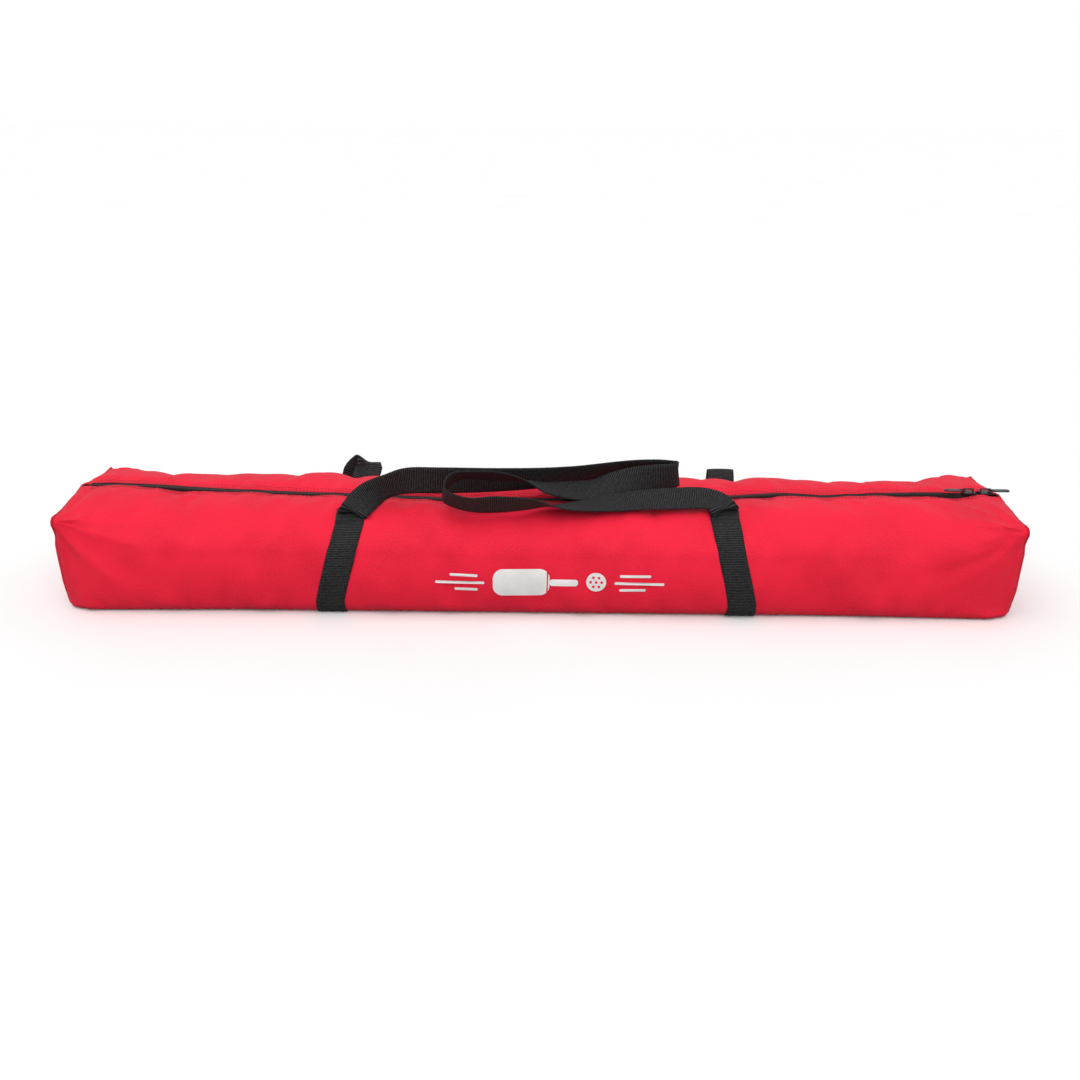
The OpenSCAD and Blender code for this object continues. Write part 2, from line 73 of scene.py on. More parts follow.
# -------------------- materials
class Graph:
    """Short hand for shader nodes."""

    def __init__(self, name):
        self.material = bpy.data.materials.new(name)
        self.material.use_nodes = True
        self.t = self.material.node_tree
        self.t.nodes.clear()
        self.out = self.add("ShaderNodeOutputMaterial")
        self.bsdf = self.add("ShaderNodeBsdfPrincipled")
        self.link(self.bsdf.outputs[0], self.out.inputs["Surface"])

    def add(self, kind, **values):
        n = self.t.nodes.new(kind)
        for k, v in values.items():
            if hasattr(n, k):
                setattr(n, k, v)
            else:
                n.inputs[k].default_value = v
        return n

    def link(self, a, b):
        self.t.links.new(a, b)

    def coords(self, uv=True, scale=(1, 1, 1), turn=(0, 0, 0)):
        c = self.add("ShaderNodeTexCoord")
        m = self.add("ShaderNodeMapping")
        m.inputs["Scale"].default_value = scale
        m.inputs["Rotation"].default_value = turn
        self.link(c.outputs["UV" if uv else "Object"], m.inputs["Vector"])
        return m.outputs[0]

    def noise(self, vec, scale, detail=2.0, rough=0.5):
        n = self.add("ShaderNodeTexNoise", Scale=scale, Detail=detail, Roughness=rough)
        self.link(vec, n.inputs["Vector"])
        return n.outputs["Fac"]

    def bands(self, vec, scale, axis="X", distortion=0.0, profile="SIN"):
        n = self.add("ShaderNodeTexWave", wave_type="BANDS", bands_direction=axis, wave_profile=profile)
        n.inputs["Scale"].default_value = scale
        n.inputs["Distortion"].default_value = distortion
        self.link(vec, n.inputs["Vector"])
        return n.outputs["Fac"]

    def math(self, op, a, b):
        n = self.add("ShaderNodeMath", operation=op)
        for i, v in enumerate((a, b)):
            if isinstance(v, (int, float)):
                n.inputs[i].default_value = v
            else:
                self.link(v, n.inputs[i])
        return n.outputs[0]

    def ramp(self, fac, stops):
        n = self.add("ShaderNodeValToRGB")
        while len(n.color_ramp.elements) < len(stops):
            n.color_ramp.elements.new(0.5)
        for e, (pos, col) in zip(n.color_ramp.elements, stops):
            e.position, e.color = pos, (*col, 1)
        self.link(fac, n.inputs["Fac"])
        return n.outputs["Color"]

    def span(self, fac, lo, hi):
        n = self.add("ShaderNodeMapRange")
        n.inputs["To Min"].default_value, n.inputs["To Max"].default_value = lo, hi
        self.link(fac, n.inputs["Value"])
        return n.outputs[0]

    def bump(self, height, strength, distance, chain=None):
        n = self.add("ShaderNodeBump", Strength=strength, Distance=distance)
        self.link(height, n.inputs["Height"])
        if chain is not None:
            self.link(chain, n.inputs["Normal"])
        return n.outputs[0]

    def put(self, **sockets):
        for k, v in sockets.items():
            s = self.bsdf.inputs[k.replace("_", " ")]
            if isinstance(v, (int, float, tuple)):
                s.default_value = v
            else:
                self.link(v, s)
        return self.material


def shade(c, k):
    return tuple(min(1.0, x * k) for x in c)


def fabric_material(name, colour, weave_mm=1.3, sheen=0.08):
    """Plain-woven coated polyester: two thread directions, slubs, soft sheen."""
    g = Graph(name)
    uv = g.coords()
    threads = 500.016 / weave_mm
    warp = g.bands(uv, threads, "X")
    weft = g.bands(uv, threads, "Y")
    weave = g.math("MULTIPLY", warp, weft)
    grain = g.noise(uv, 520, 3, 0.7)
    cloud = g.noise(uv, 9, 3, 0.55)
    tone = g.math("ADD", g.math("MULTIPLY", grain, 0.6), g.math("MULTIPLY", cloud, 0.4))
    col = g.ramp(tone, [(0.3, shade(colour, 0.7)), (0.52, colour), (0.75, shade(colour, 1.22))])
    rough = g.span(cloud, 0.5, 0.66)
    n1 = g.bump(weave, 0.4, 0.0004)
    n2 = g.bump(grain, 0.45, 0.0006, n1)
    n3 = g.bump(g.noise(uv, 55, 3, 0.5), 0.2, 0.0018, n2)
    tint = (1.0, 0.62, 0.68, 1.0) if colour[0] > 0.3 else (1.0, 1.0, 1.0, 1.0)
    g.put(Sheen_Weight=sheen, Sheen_Roughness=0.45, Sheen_Tint=tint, Specular_IOR_Level=0.12)
    return g.put(Base_Color=col, Roughness=rough, Normal=n3)


def webbing_material(name, colour):
    """Ribbed webbing: cross ribs, a slanted twill and streaks of high threads, with painted light and shade:
    ribs and high threads painted paler, grooves painted near black.
    """
    g = Graph(name)
    uv = g.coords()
    ribs = g.bands(uv, 150, "Y")
    twill = g.bands(g.coords(turn=(0, 0, 0.6)), 420, "X")
    grain = g.noise(g.coords(scale=(0.35, 1, 1)), 640, 3, 0.7)
    streaks = g.math("ADD", g.math("MULTIPLY", twill, 0.1), g.math("MULTIPLY", grain, 0.55))
    h = g.math("ADD", g.math("MULTIPLY", ribs, 0.35), streaks)
    # Painted light and shade: the rib crests and high threads run up to ten times paler than the black, and
    # the grooves run down to near black.
    col = g.ramp(h, [(0.36, shade(colour, 0.05)), (0.52, shade(colour, 0.8)), (0.68, shade(colour, 10.0))])
    n1 = g.bump(h, 0.8, 0.0009)
    n2 = g.bump(grain, 0.3, 0.0005, n1)
    g.put(Sheen_Weight=0.03, Specular_IOR_Level=0.2)
    return g.put(Base_Color=col, Roughness=g.span(grain, 0.55, 0.8), Normal=n2)


def hard_material(name, colour, rough=(0.3, 0.5), metal=0.0, fine=900, coarse=40, bump=0.12, coat=0.0):
    """Solid finish with fine tooth, handling marks and uneven gloss."""
    g = Graph(name)
    vec = g.coords(uv=False)
    fine_n = g.noise(vec, fine, 2, 0.6)
    wear = g.noise(vec, coarse, 4, 0.6)
    col = g.ramp(wear, [(0.3, shade(colour, 0.86)), (0.55, colour), (0.8, shade(colour, 1.18))])
    scuff = g.span(g.noise(g.coords(uv=False, scale=(1, 6, 6)), coarse * 6, 3, 0.7), rough[0], rough[1])
    tooth = g.bump(fine_n, bump, 0.0003)
    return g.put(Base_Color=col, Roughness=scuff, Normal=tooth, Metallic=metal, Coat_Weight=coat)


def cord_material(name, colour):
    """Braided cord: two sets of slanted strands crossing, with painted light and shade: strand crests painted
    paler, the gaps between strands painted darker.
    """
    g = Graph(name)
    a = g.bands(g.coords(uv=False, turn=(0, 0, 0.7)), 300, "X")
    b = g.bands(g.coords(uv=False, turn=(0, 0, -0.7)), 300, "X")
    h = g.math("MAXIMUM", a, b)
    # Painted light and shade: the colour follows the strands, paler on their crests and darker between them.
    col = g.ramp(h, [(0.4, shade(colour, 0.5)), (0.9, shade(colour, 1.5))])
    return g.put(Base_Color=col, Roughness=0.75, Normal=g.bump(h, 0.5, 0.0005))


def net_material():
    """Knotted black net seen as crossing cords over the roll under them; between the cords the colour is a
    painted shade, near black, for the wound layers below.
    """
    g = Graph("net_cord_mesh")
    uv = g.coords()
    a = g.bands(g.coords(turn=(0, 0, math.pi / 4)), 26, "X", 0.6)
    b = g.bands(g.coords(turn=(0, 0, -math.pi / 4)), 26, "X", 0.6)
    h = g.math("MAXIMUM", g.math("POWER", a, 6.0), g.math("POWER", b, 6.0))
    # Painted shade: the gaps between the cords are near black, and the cords themselves are a little lighter.
    col = g.ramp(h, [(0.1, (0.004, 0.004, 0.004)), (0.6, (0.03, 0.03, 0.033))])
    n = g.bump(h, 0.9, 0.002)
    n = g.bump(g.noise(uv, 400, 2), 0.3, 0.0005, n)
    return g.put(Base_Color=col, Roughness=0.75, Normal=n)


RED = (0.90, 0.017, 0.050)
BLACK = (0.006, 0.006, 0.0064)
M = {
    "fabric": fabric_material("bag_fabric", RED),
    "lining": fabric_material("bag_lining", (0.035, 0.035, 0.04), 1.6, 0.1),
    # The binding is the bag's red darkened to 0.8, a painted shade for the darker band along the end edges.
    "binding": fabric_material("seam_binding", shade(RED, 0.8), 1.0, 0.2),
    "thread": hard_material("stitch_thread", (0.42, 0.012, 0.03), (0.5, 0.7), fine=2500),
    "web": webbing_material("handle_webbing", BLACK),
    "web_thread": hard_material("webbing_thread", (0.03, 0.03, 0.032), (0.5, 0.7), fine=2500),
    "tape": fabric_material("zip_tape_weave", (0.014, 0.014, 0.015), 0.7, 0.05),
    "coil": hard_material("zip_coil_nylon", (0.016, 0.016, 0.018), (0.28, 0.42), fine=1500),
    "slider": hard_material("slider_cast_metal", (0.045, 0.045, 0.05), (0.22, 0.4), metal=0.75, fine=1400),
    "pull": hard_material("pull_plated_metal", (0.11, 0.11, 0.12), (0.2, 0.38), metal=0.9, fine=1400),
    "tube": hard_material("tube_powder_coat", (0.018, 0.018, 0.02), (0.32, 0.5), fine=1100, bump=0.3,
                          coat=0.15),
    "steel": hard_material("button_steel", (0.6, 0.61, 0.63), (0.18, 0.34), metal=1.0, coarse=120),
    "plastic": hard_material("moulded_plastic", (0.02, 0.02, 0.021), (0.38, 0.55), fine=700, bump=0.25),
    "rubber": hard_material("foot_rubber", (0.015, 0.015, 0.015), (0.7, 0.9), fine=500, bump=0.4),
    "cord": cord_material("elastic_cord", (0.03, 0.03, 0.034)),
    "net": net_material(),
    "band": fabric_material("net_band_vinyl", (0.82, 0.82, 0.8), 1.1, 0.05),
    "print": hard_material("print_white", (0.86, 0.85, 0.84), (0.5, 0.62), fine=1200, coarse=25),
}


# -------------------- mesh helpers
def mesh_object(name, verts, faces, material, uvs=None, smooth=True):
    me = bpy.data.meshes.new(name)
    me.from_pydata([tuple(v) for v in np.asarray(verts, float)], [], [tuple(f) for f in faces])
    if smooth:
        me.polygons.foreach_set("use_smooth", [True] * len(me.polygons))
    if uvs is not None:
        layer = me.uv_layers.new(name="UVMap")
        loops = np.zeros(len(me.loops), np.int32)
        me.loops.foreach_get("vertex_index", loops)
        layer.data.foreach_set("uv", np.asarray(uvs, np.float32)[loops].ravel())
    me.materials.append(material)
    me.update()
    ob = bpy.data.objects.new(name, me)
    bpy.context.scene.collection.objects.link(ob)
    return ob


def grid_faces(nr, nc, wrap=False, flip=False):
    out = []
    last = nc if wrap else nc - 1
    for r in range(nr - 1):
        for c in range(last):
            a, b = r * nc + c, r * nc + (c + 1) % nc
            f = (a, b, b + nc, a + nc)
            out.append(f[::-1] if flip else f)
    return out


def thicken(ob, thickness, offset=-1.0):
    """Gives a sheet its thickness; the modifier stays on, so it follows the piece as it bends."""
    m = ob.modifiers.new("thickness", "SOLIDIFY")
    m.thickness, m.offset, m.use_rim = thickness, offset, True
    m.use_even_offset = False
    return m


def line_inside(ob):
    """Fabric thickness with the dark lining on the inner face."""
    ob.data.materials.append(M["lining"])
    m = thicken(ob, FABRIC_T)
    m.material_offset, m.material_offset_rim = 1, 0


def weigh(ob, a, b, start, end, weights):
    """Bakes the piece's placement into its mesh and returns it; the two bodies, their points and the weights
    are not used.
    """
    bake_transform(ob)
    return ob


# -------------------- the bag's surface
# All shapes are worked out in mm, front at -Y, and turned into metres when a mesh is made.
NX = 214  # columns along the bag
N_TOP, N_ARC, N_FACE, N_CORNER, N_BOTTOM = 20, 18, 18, 6, 8  # rows of one half, from the zip down
NU = N_TOP + N_ARC + N_FACE + N_CORNER + N_BOTTOM + 1
LOFT_X = 579.0  # the wrap reaches this far each way
END_R = 12.0  # rounding of the face into the end
SLOT = 6.0  # from the zip's middle to the folded edge of the fabric
FABRIC_T = 0.0014

ZIP_END_Z = 129.2
ZIP_KNOTS = np.array([
    (-577, 0, 129.6), (-541, 2, 130.2), (-481, -2, 129.8), (-431, -5, 127.6), (-355, -8, 125.6),
    (-254, -12, 124.6), (-127, -24, 124.3), (0, -24, 124.3), (120, -18, 124.3), (200, -11, 124.8),
    (253, -5, 125.2), (303, 5, 126.2), (354, -7, 126.0), (392, -3, 127.2), (460, 1.5, 128.6),
    (505, 2.5, 129.1), (532, 0, ZIP_END_Z), (577, 0, ZIP_END_Z),
], float)
KNOT_STEP, KNOT_REACH, KNOT_SOFT = 4.0, 12, 18.0


def smooth_knots(column):
    """Knots joined by straight lines and softened over about 40 mm."""
    fine = np.arange(-620, 621, KNOT_STEP)
    raw = np.interp(fine, ZIP_KNOTS[:, 0], ZIP_KNOTS[:, column])
    kernel = np.exp(-(np.arange(-KNOT_REACH, KNOT_REACH + 1) * KNOT_STEP / KNOT_SOFT) ** 2)
    pad = np.pad(raw, KNOT_REACH, mode="edge")
    return fine, np.convolve(pad, kernel / kernel.sum(), mode="valid")


ZIP_Y, ZIP_Z = smooth_knots(1), smooth_knots(2)


def zip_centre(x):
    """(y, z) of the zip's middle line on the fabric's level, in mm."""
    hold = ramp(510, 530, x)
    return mix(np.interp(x, *ZIP_Y), 0.0, hold), mix(np.interp(x, *ZIP_Z), ZIP_END_Z, hold)


# Sizes of the section, as (middle of the bag, its ends)
TOP_Z = {-1: (124.5, 121.0), 1: (127.2, 121.0)}
CROWN = {-1: (0.5, 3.2), 1: (3.0, 3.2)}
SHOULDER_R = (46.0, 7.0)
HALF_WIDTH = (102.0, 105.0)
LOW_WIDTH = (101.5, 93.5)
BOTTOM_R = (17.0, 10.0)
FACE_BULGE = (3.2, 0.6)
EAR_Y, EAR_Z, EAR_KEEP = 104.0, 119.0, 21.0


def half_section(x, side):
    """Points (y, z) in mm from the zip's edge over the top, down the face and under to the middle."""
    ax = abs(x)
    e = float(ramp(330, LOFT_X, ax))
    ear = float(ramp(400, LOFT_X, ax)) ** 1.6
    zy, zz = zip_centre(x)
    top = mix(*TOP_Z[side], e)
    r = mix(*SHOULDER_R, ear)
    w = mix(*HALF_WIDTH, ear)
    low = mix(*LOW_WIDTH, float(ramp(545, LOFT_X, ax)))
    rb = mix(*BOTTOM_R, e)
    pts = []
    y0, y1 = zy + side * SLOT, side * (w - r)
    crown = mix(*CROWN[side], e)
    for i in range(N_TOP):
        t = i / N_TOP
        pts.append((mix(y0, y1, t), mix(zz, top, t) + crown * math.sin(math.pi * t)))
    for i in range(N_ARC):
        a = math.pi / 2 * (1 - i / N_ARC)
        pts.append((side * (w - r + r * math.cos(a)), top - r + r * math.sin(a)))
    bulge = mix(*FACE_BULGE, e)
    for i in range(N_FACE):
        t = i / N_FACE
        pts.append((side * (mix(w, low, t) + bulge * math.sin(math.pi * t)), mix(top - r, rb, t)))
    for i in range(N_CORNER):
        a = math.pi / 2 * i / N_CORNER
        pts.append((side * (low - rb + rb * math.cos(a)), rb - rb * math.sin(a)))
    for i in range(N_BOTTOM + 1):
        t = i / N_BOTTOM
        pts.append((side * (low - rb) * (1 - t), 0.0))
    pts = np.array(pts)
    # The face rounds into the end, but the ear keeps its point
    near = max(0.0, ax - (LOFT_X - END_R))
    inset = END_R - math.sqrt(max(END_R ** 2 - near ** 2, 0.0))
    tip = np.hypot(np.abs(pts[:, 0]) - EAR_Y, pts[:, 1] - EAR_Z)
    keep = 1 - np.exp(-(tip / EAR_KEEP) ** 2)
    body = 0.3 + 0.45 * ramp(34, 4, pts[:, 1]) + 0.5 * ramp(84, 104, pts[:, 1])
    shrink = inset * keep * body * ramp(10, 80, np.abs(pts[:, 0]))
    pts[:, 0] -= side * shrink
    pts[:, 1] -= inset * 0.35 * keep * ramp(100, 118, pts[:, 1]) * ramp(0.0, 30.0, np.abs(pts[:, 0]))
    return pts


xs = np.linspace(-LOFT_X, LOFT_X, NX)


def build_side(side):
    return np.array([[(x, y, z) for y, z in half_section(x, side)] for x in xs])


def normals(p, side):
    du = np.gradient(p, axis=0)
    dv = np.gradient(p, axis=1)
    n = np.cross(du, dv) * side
    n /= np.maximum(np.linalg.norm(n, axis=2, keepdims=True), 1e-9)
    return n


def arc_length(p):
    d = np.linalg.norm(np.diff(p, axis=1), axis=2)
    return np.concatenate([np.zeros((p.shape[0], 1)), np.cumsum(d, axis=1)], axis=1)


STRAP_X = (-240.0, 232.0)


def creases(p, s, side):
    """Outward offset in mm: slack, seam puckers, folds fanning out of the ears, straps biting in."""
    x, z = p[..., 0], p[..., 2]
    ax = np.abs(x)
    off = waves(x, s, [
        (0.9, 310, 240, 0.4), (0.8, -190, 150, 1.9), (0.6, 118, 420, 2.7), (0.45, -83, 96, 0.9),
        (0.35, 57, -130, 4.1), (0.25, 41, 77, 5.0),
    ])
    near_zip = np.exp(-s / 13.0)
    puckers = waves(x, s, [(0.9, 37, 90, 0.3), (0.6, 23, -70, 2.0), (0.5, 61, 60, 1.1)])
    off += near_zip * (1 - np.exp(-s / 3.0)) * puckers
    quiet = 0.35 + 0.65 * ramp(250, 470, ax)
    off += quiet * (-1.6 * np.exp(-((s - 11) / 3.6) ** 2) + 1.1 * np.exp(-((s - 18) / 5.0) ** 2))
    ear_s = s[:, N_TOP + N_ARC // 2][:, None]
    dx, ds = LOFT_X - ax, s - ear_s
    rad, ang = np.hypot(dx, ds), np.arctan2(ds, dx + 1e-6)
    phase = np.where(x > 0, 0.7, 0.0) + (0.5 if side > 0 else 0.0)
    fan = np.maximum(0, np.cos(6.5 * ang + phase + rad / 95.0)) ** 2 - 0.35
    fan2 = np.maximum(0, np.cos(11.0 * ang + 2.1 - phase * 2 + rad / 60.0)) ** 3 - 0.2
    reach = np.exp(-rad / 105.0) * (1 - np.exp(-rad / 16.0))
    off += reach * (5.2 * fan + 2.6 * fan2)
    for sx in STRAP_X:
        d = (x - sx) / 24.0
        roll = np.exp(-((s - ear_s) / 45.0) ** 2)
        bite = -1.4 * np.exp(-d * d) * (0.4 + 0.6 * roll)
        off += bite + 0.7 * np.exp(-((np.abs(d) - 1.9) / 0.7) ** 2) * roll
    off += 1.3 * ramp(330, 520, ax) * np.sin(x / 17.0 + s / 31.0) * np.exp(-((z - 98) / 22.0) ** 2)
    lower = ramp(2, 16, z)
    return off * lower * ramp(LOFT_X, LOFT_X - 10, ax)


SETTLE_FRAMES = 18
CLOTH_CAP = 6.0  # no point settles further than this
CLOTH_SCALE = 10  # simulated ten times as large, where the solver behaves better


def cloth_wrinkles(grid_f, grid_r):
    """Lets the whole wrap settle as cloth that is a little too big, and returns both halves moved."""
    full = np.concatenate([grid_f, grid_r[:, -2::-1]], axis=1)
    nx, nu = full.shape[:2]
    verts = full.reshape(-1, 3) * MM * CLOTH_SCALE
    ob = mesh_object("wrap_cloth", verts, grid_faces(nx, nu), M["fabric"])
    ax = np.abs(full[..., 0])
    pin = np.maximum(ramp(LOFT_X - 26, LOFT_X - 4, ax), ramp(9.0, 1.0, full[..., 2]))
    col = np.arange(nu)[None, :]
    edge = np.maximum(ramp(3.2, 0.5, col), ramp(nu - 4.2, nu - 1.5, col))
    pin = np.maximum(pin, edge * np.ones_like(ax))
    group = ob.vertex_groups.new(name="pin")
    for i, v in enumerate(pin.ravel()):
        if v > 0.02:
            group.add([i], float(v), "REPLACE")
    cloth = ob.modifiers.new("cloth", "CLOTH")
    cs = cloth.settings
    cs.quality = 5
    cs.mass = 0.25
    cs.tension_stiffness = 18
    cs.compression_stiffness = 18
    cs.shear_stiffness = 6
    cs.bending_stiffness = 0.6
    cs.tension_damping = cs.compression_damping = cs.shear_damping = 12
    cs.air_damping = 3
    cs.vertex_group_mass = "pin"
    cs.pin_stiffness = 1
    cs.shrink_min = cs.shrink_max = -0.022
    cs.use_pressure = True
    cs.uniform_pressure_force = 0.6
    cs.effector_weights.gravity = 0
    cloth.collision_settings.use_collision = False
    cloth.collision_settings.use_self_collision = False
    cloth.point_cache.frame_start, cloth.point_cache.frame_end = 1, SETTLE_FRAMES
    scene = bpy.context.scene
    for f in range(1, SETTLE_FRAMES + 1):
        scene.frame_set(f)
    deps = bpy.context.evaluated_depsgraph_get()
    out = np.array([v.co for v in ob.evaluated_get(deps).to_mesh().vertices]) / (MM * CLOTH_SCALE)
    scene.frame_set(1)
    bpy.data.objects.remove(ob, do_unlink=True)
    moved = out.reshape(nx, nu, 3) - full
    size = np.linalg.norm(moved, axis=2, keepdims=True)
    moved *= CLOTH_CAP / (CLOTH_CAP + size)
    full = full + moved
    nu_half = grid_f.shape[1]
    return full[:, :nu_half], full[:, nu_half - 1:][:, ::-1]


sides = {}
for side in (-1, 1):
    p = build_side(side)
    sides[side] = p + normals(p, side) * creases(p, arc_length(p), side)[..., None]
sides[-1], sides[1] = cloth_wrinkles(sides[-1], sides[1])
SURF, UV = {}, {}
for side, p in sides.items():
    p[..., 2] = np.maximum(p[..., 2], 0.0)
    SURF[side] = {"p": p, "s": arc_length(p), "n": normals(p, side)}
    u = np.repeat(xs[:, None], NU, axis=1) * MM
    UV[side] = np.stack([u, SURF[side]["s"] * MM * side], axis=2)


def surf(side, x, j):
    """Point and outward normal, in mm, at x and at fractional row j of one half of the bag."""
    fi = np.clip((x + LOFT_X) / (2 * LOFT_X) * (NX - 1), 0, NX - 1.001)
    i0, j0 = int(fi), int(min(max(j, 0), NU - 1.001))
    a, b = fi - i0, min(max(j, 0), NU - 1.001) - j0
    out = []
    for key in ("p", "n"):
        g = SURF[side][key]
        v = (g[i0, j0] * (1 - a) * (1 - b) + g[i0 + 1, j0] * a * (1 - b)
             + g[i0, j0 + 1] * (1 - a) * b + g[i0 + 1, j0 + 1] * a * b)
        out.append(v)
    return out[0], out[1] / np.linalg.norm(out[1])


def column_at(x):
    return int(round((x + LOFT_X) / (2 * LOFT_X) * (NX - 1)))


def row_at(side, x, s):
    """Fractional row where the arc length from the zip edge is s."""
    return float(np.interp(s, SURF[side]["s"][column_at(x)], np.arange(NU)))


def row_at_z(side, x, z):
    """Fractional row on the face where the height is z."""
    zs = SURF[side]["p"][column_at(x), N_TOP:N_TOP + N_ARC + N_FACE + N_CORNER, 2]
    return N_TOP + float(np.interp(-z, np.maximum.accumulate(-zs), np.arange(len(zs))))


def open_share(x):
    """How fully the top follows its flap along the bag: 0 at the closed ends, 1 in the middle."""
    return ramp(552, 372, np.abs(x))


def front_share(p):
    """Share of the front flap's turn at a rest point (mm)."""
    y, z = p[..., 1], p[..., 2]
    return open_share(p[..., 0]) * ramp(64, 98, z) * ramp(40, 8, y)


def rear_share(p):
    """Share of the rear flap's turn at a rest point (mm)."""
    y, z = p[..., 1], p[..., 2]
    return open_share(p[..., 0]) * ramp(94, 62, y) * ramp(60, 90, z)


FRONT = ("bag", "front_flap", (0, -0.102, 0.062), (0, -0.09, 0.100))
REAR = ("bag", "rear_flap", (0, 0.094, 0.110), (0, 0.060, 0.124))
HALVES = ((-1, "front", FRONT, front_share), (1, "rear", REAR, rear_share))
for side, label, bodies, share in HALVES:
    p, uv, faces = SURF[side]["p"], UV[side].reshape(-1, 2), grid_faces(NX, NU, flip=side > 0)
    ob = mesh_object(f"bag_{label}_fabric", p.reshape(-1, 3) * MM, faces, M["fabric"], uv)
    line_inside(ob)
    weigh(ob, *bodies, share(p).ravel())
    if side < 0:
        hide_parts("bag_body", "front_top_flap", "left_top_panel")
    else:
        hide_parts("rear_top_flap", "right_top_panel")


# -------------------- closed ends and their binding
def end_outline(sign):
    """Loop round one end of the bag, from the zip down the front, under and up the rear."""
    i = NX - 1 if sign > 0 else 0
    f, r = SURF[-1]["p"][i], SURF[1]["p"][i]
    zy, zz = zip_centre(sign * LOFT_X)
    bridge = [[sign * LOFT_X, zy, zz + 0.4]]
    return np.concatenate([bridge, f, r[-2::-1]])


def loop_even(loop, count):
    """Evenly spaced points round a closed loop, and its length."""
    closed = np.concatenate([loop, loop[:1]])
    d = np.concatenate([[0], np.cumsum(np.linalg.norm(np.diff(closed, axis=0), axis=1))])
    t = np.linspace(0, d[-1], count, endpoint=False)
    return np.stack([np.interp(t, d, closed[:, k]) for k in range(3)], axis=1), d[-1]


RINGS = 26
END_MID_Z = 64.0
END_DOME = 11.5
BIND_N, BIND_SIDES = 300, 12


def end_fabric(sign, label, loop):
    """Closed end of the bag: rings shrinking to the middle, domed out, with slack folds."""
    n_loop = len(loop)
    mid = np.array([sign * LOFT_X, 0.0, END_MID_Z])
    verts, uvs = [], []
    for k in range(RINGS + 1):
        rho = 1 - k / RINGS * 0.985
        ring = mid + (loop - mid) * rho
        upper = 0.4 + 0.6 * np.clip((128 - ring[:, 2]) / 45, 0, 1)
        dome = END_DOME * (1 - rho ** 8) * upper * ramp(-12, 30, ring[:, 2])
        ang = np.arctan2(ring[:, 2] - END_MID_Z, ring[:, 1])
        fold = 1.3 * np.sin(3 * ang + 0.6 + sign) * (1 - rho) * rho * 3
        fold += 1.6 * rho ** 3 * (1 - rho) * 4 * np.sin(9 * ang + 1.2 * sign)
        dent = -3.2 * np.exp(-((ring[:, 2] - 92) / 12.0) ** 2 - (ring[:, 1] / 60.0) ** 2)
        ring[:, 0] = sign * (LOFT_X + dome + (fold + dent) * (1 - rho ** 6))
        verts.append(ring)
        uvs.append(ring[:, 1:] * MM)
    verts, uvs = np.array(verts), np.array(uvs)
    faces = grid_faces(RINGS + 1, n_loop, wrap=True, flip=sign < 0)
    cap = tuple(range(RINGS * n_loop, (RINGS + 1) * n_loop))
    faces.append(cap if sign > 0 else cap[::-1])
    verts, uvs = verts.reshape(-1, 3) * MM, uvs.reshape(-1, 2)
    ob = mesh_object(label + "_end_fabric", verts, faces, M["fabric"], uvs)
    line_inside(ob)
    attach(ob, "bag")
    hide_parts(label + "_end_panel")


def end_binding(sign, label, loop):
    """Folded binding over the raw edge: a flattened tube that stands out, most of all at the ears."""
    even, length = loop_even(loop, BIND_N)
    centre = even.mean(axis=0)
    tangent = np.roll(even, -1, axis=0) - np.roll(even, 1, axis=0)
    tangent /= np.linalg.norm(tangent, axis=1, keepdims=True)
    outward = np.cross(tangent, [1.0, 0, 0])
    outward *= np.sign(np.sum(outward * (even - centre), axis=1, keepdims=True))
    outward /= np.linalg.norm(outward, axis=1, keepdims=True)
    ear_pull = np.exp(-(np.hypot(np.abs(even[:, 1]) - 103, even[:, 2] - 119) / 13.0) ** 2)
    under = ramp(10, 1, even[:, 2])
    stand = (0.15 + 1.3 * ear_pull)[:, None] * (1 - under)[:, None]
    t = np.linspace(0, 2 * math.pi, BIND_N, endpoint=False)
    pucker = (0.5 * np.sin(41 * t) + 0.4 * np.sin(67 * t + 1.0))[:, None]
    ring_v, ring_uv = [], []
    prof = [(math.cos(a), math.sin(a)) for a in np.linspace(0, 2 * math.pi, BIND_SIDES, endpoint=False)]
    for ca, sa in prof:
        q = even + outward * (stand * 0.5 - 0.3 + ca * (0.8 + stand * 0.6) + 0.12 * pucker)
        q[:, 0] = sign * (LOFT_X + 0.2) + sa * 0.9 + sign * 0.2 * pucker[:, 0]
        ring_v.append(q)
        along, around = t / (2 * math.pi) * length * MM, np.full(BIND_N, math.atan2(sa, ca) * 0.002)
        ring_uv.append(np.stack([along, around], axis=1))
    rv = np.array(ring_v)
    rv[..., 2] = np.maximum(rv[..., 2], 0.1)
    rv = rv.transpose(1, 0, 2)
    ruv = np.array(ring_uv).transpose(1, 0, 2)
    faces = []
    for r in range(BIND_N):
        a, b = r * BIND_SIDES, (r + 1) % BIND_N * BIND_SIDES
        for c in range(BIND_SIDES):
            c2 = (c + 1) % BIND_SIDES
            faces.append((a + c, a + c2, b + c2, b + c))
    ob = mesh_object(label + "_end_binding", rv.reshape(-1, 3) * MM, faces, M["binding"], ruv.reshape(-1, 2))
    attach(ob, "bag")


for sign, label in ((-1, "left"), (1, "right")):
    outline = end_outline(sign)
    end_fabric(sign, label, outline)
    end_binding(sign, label, outline)


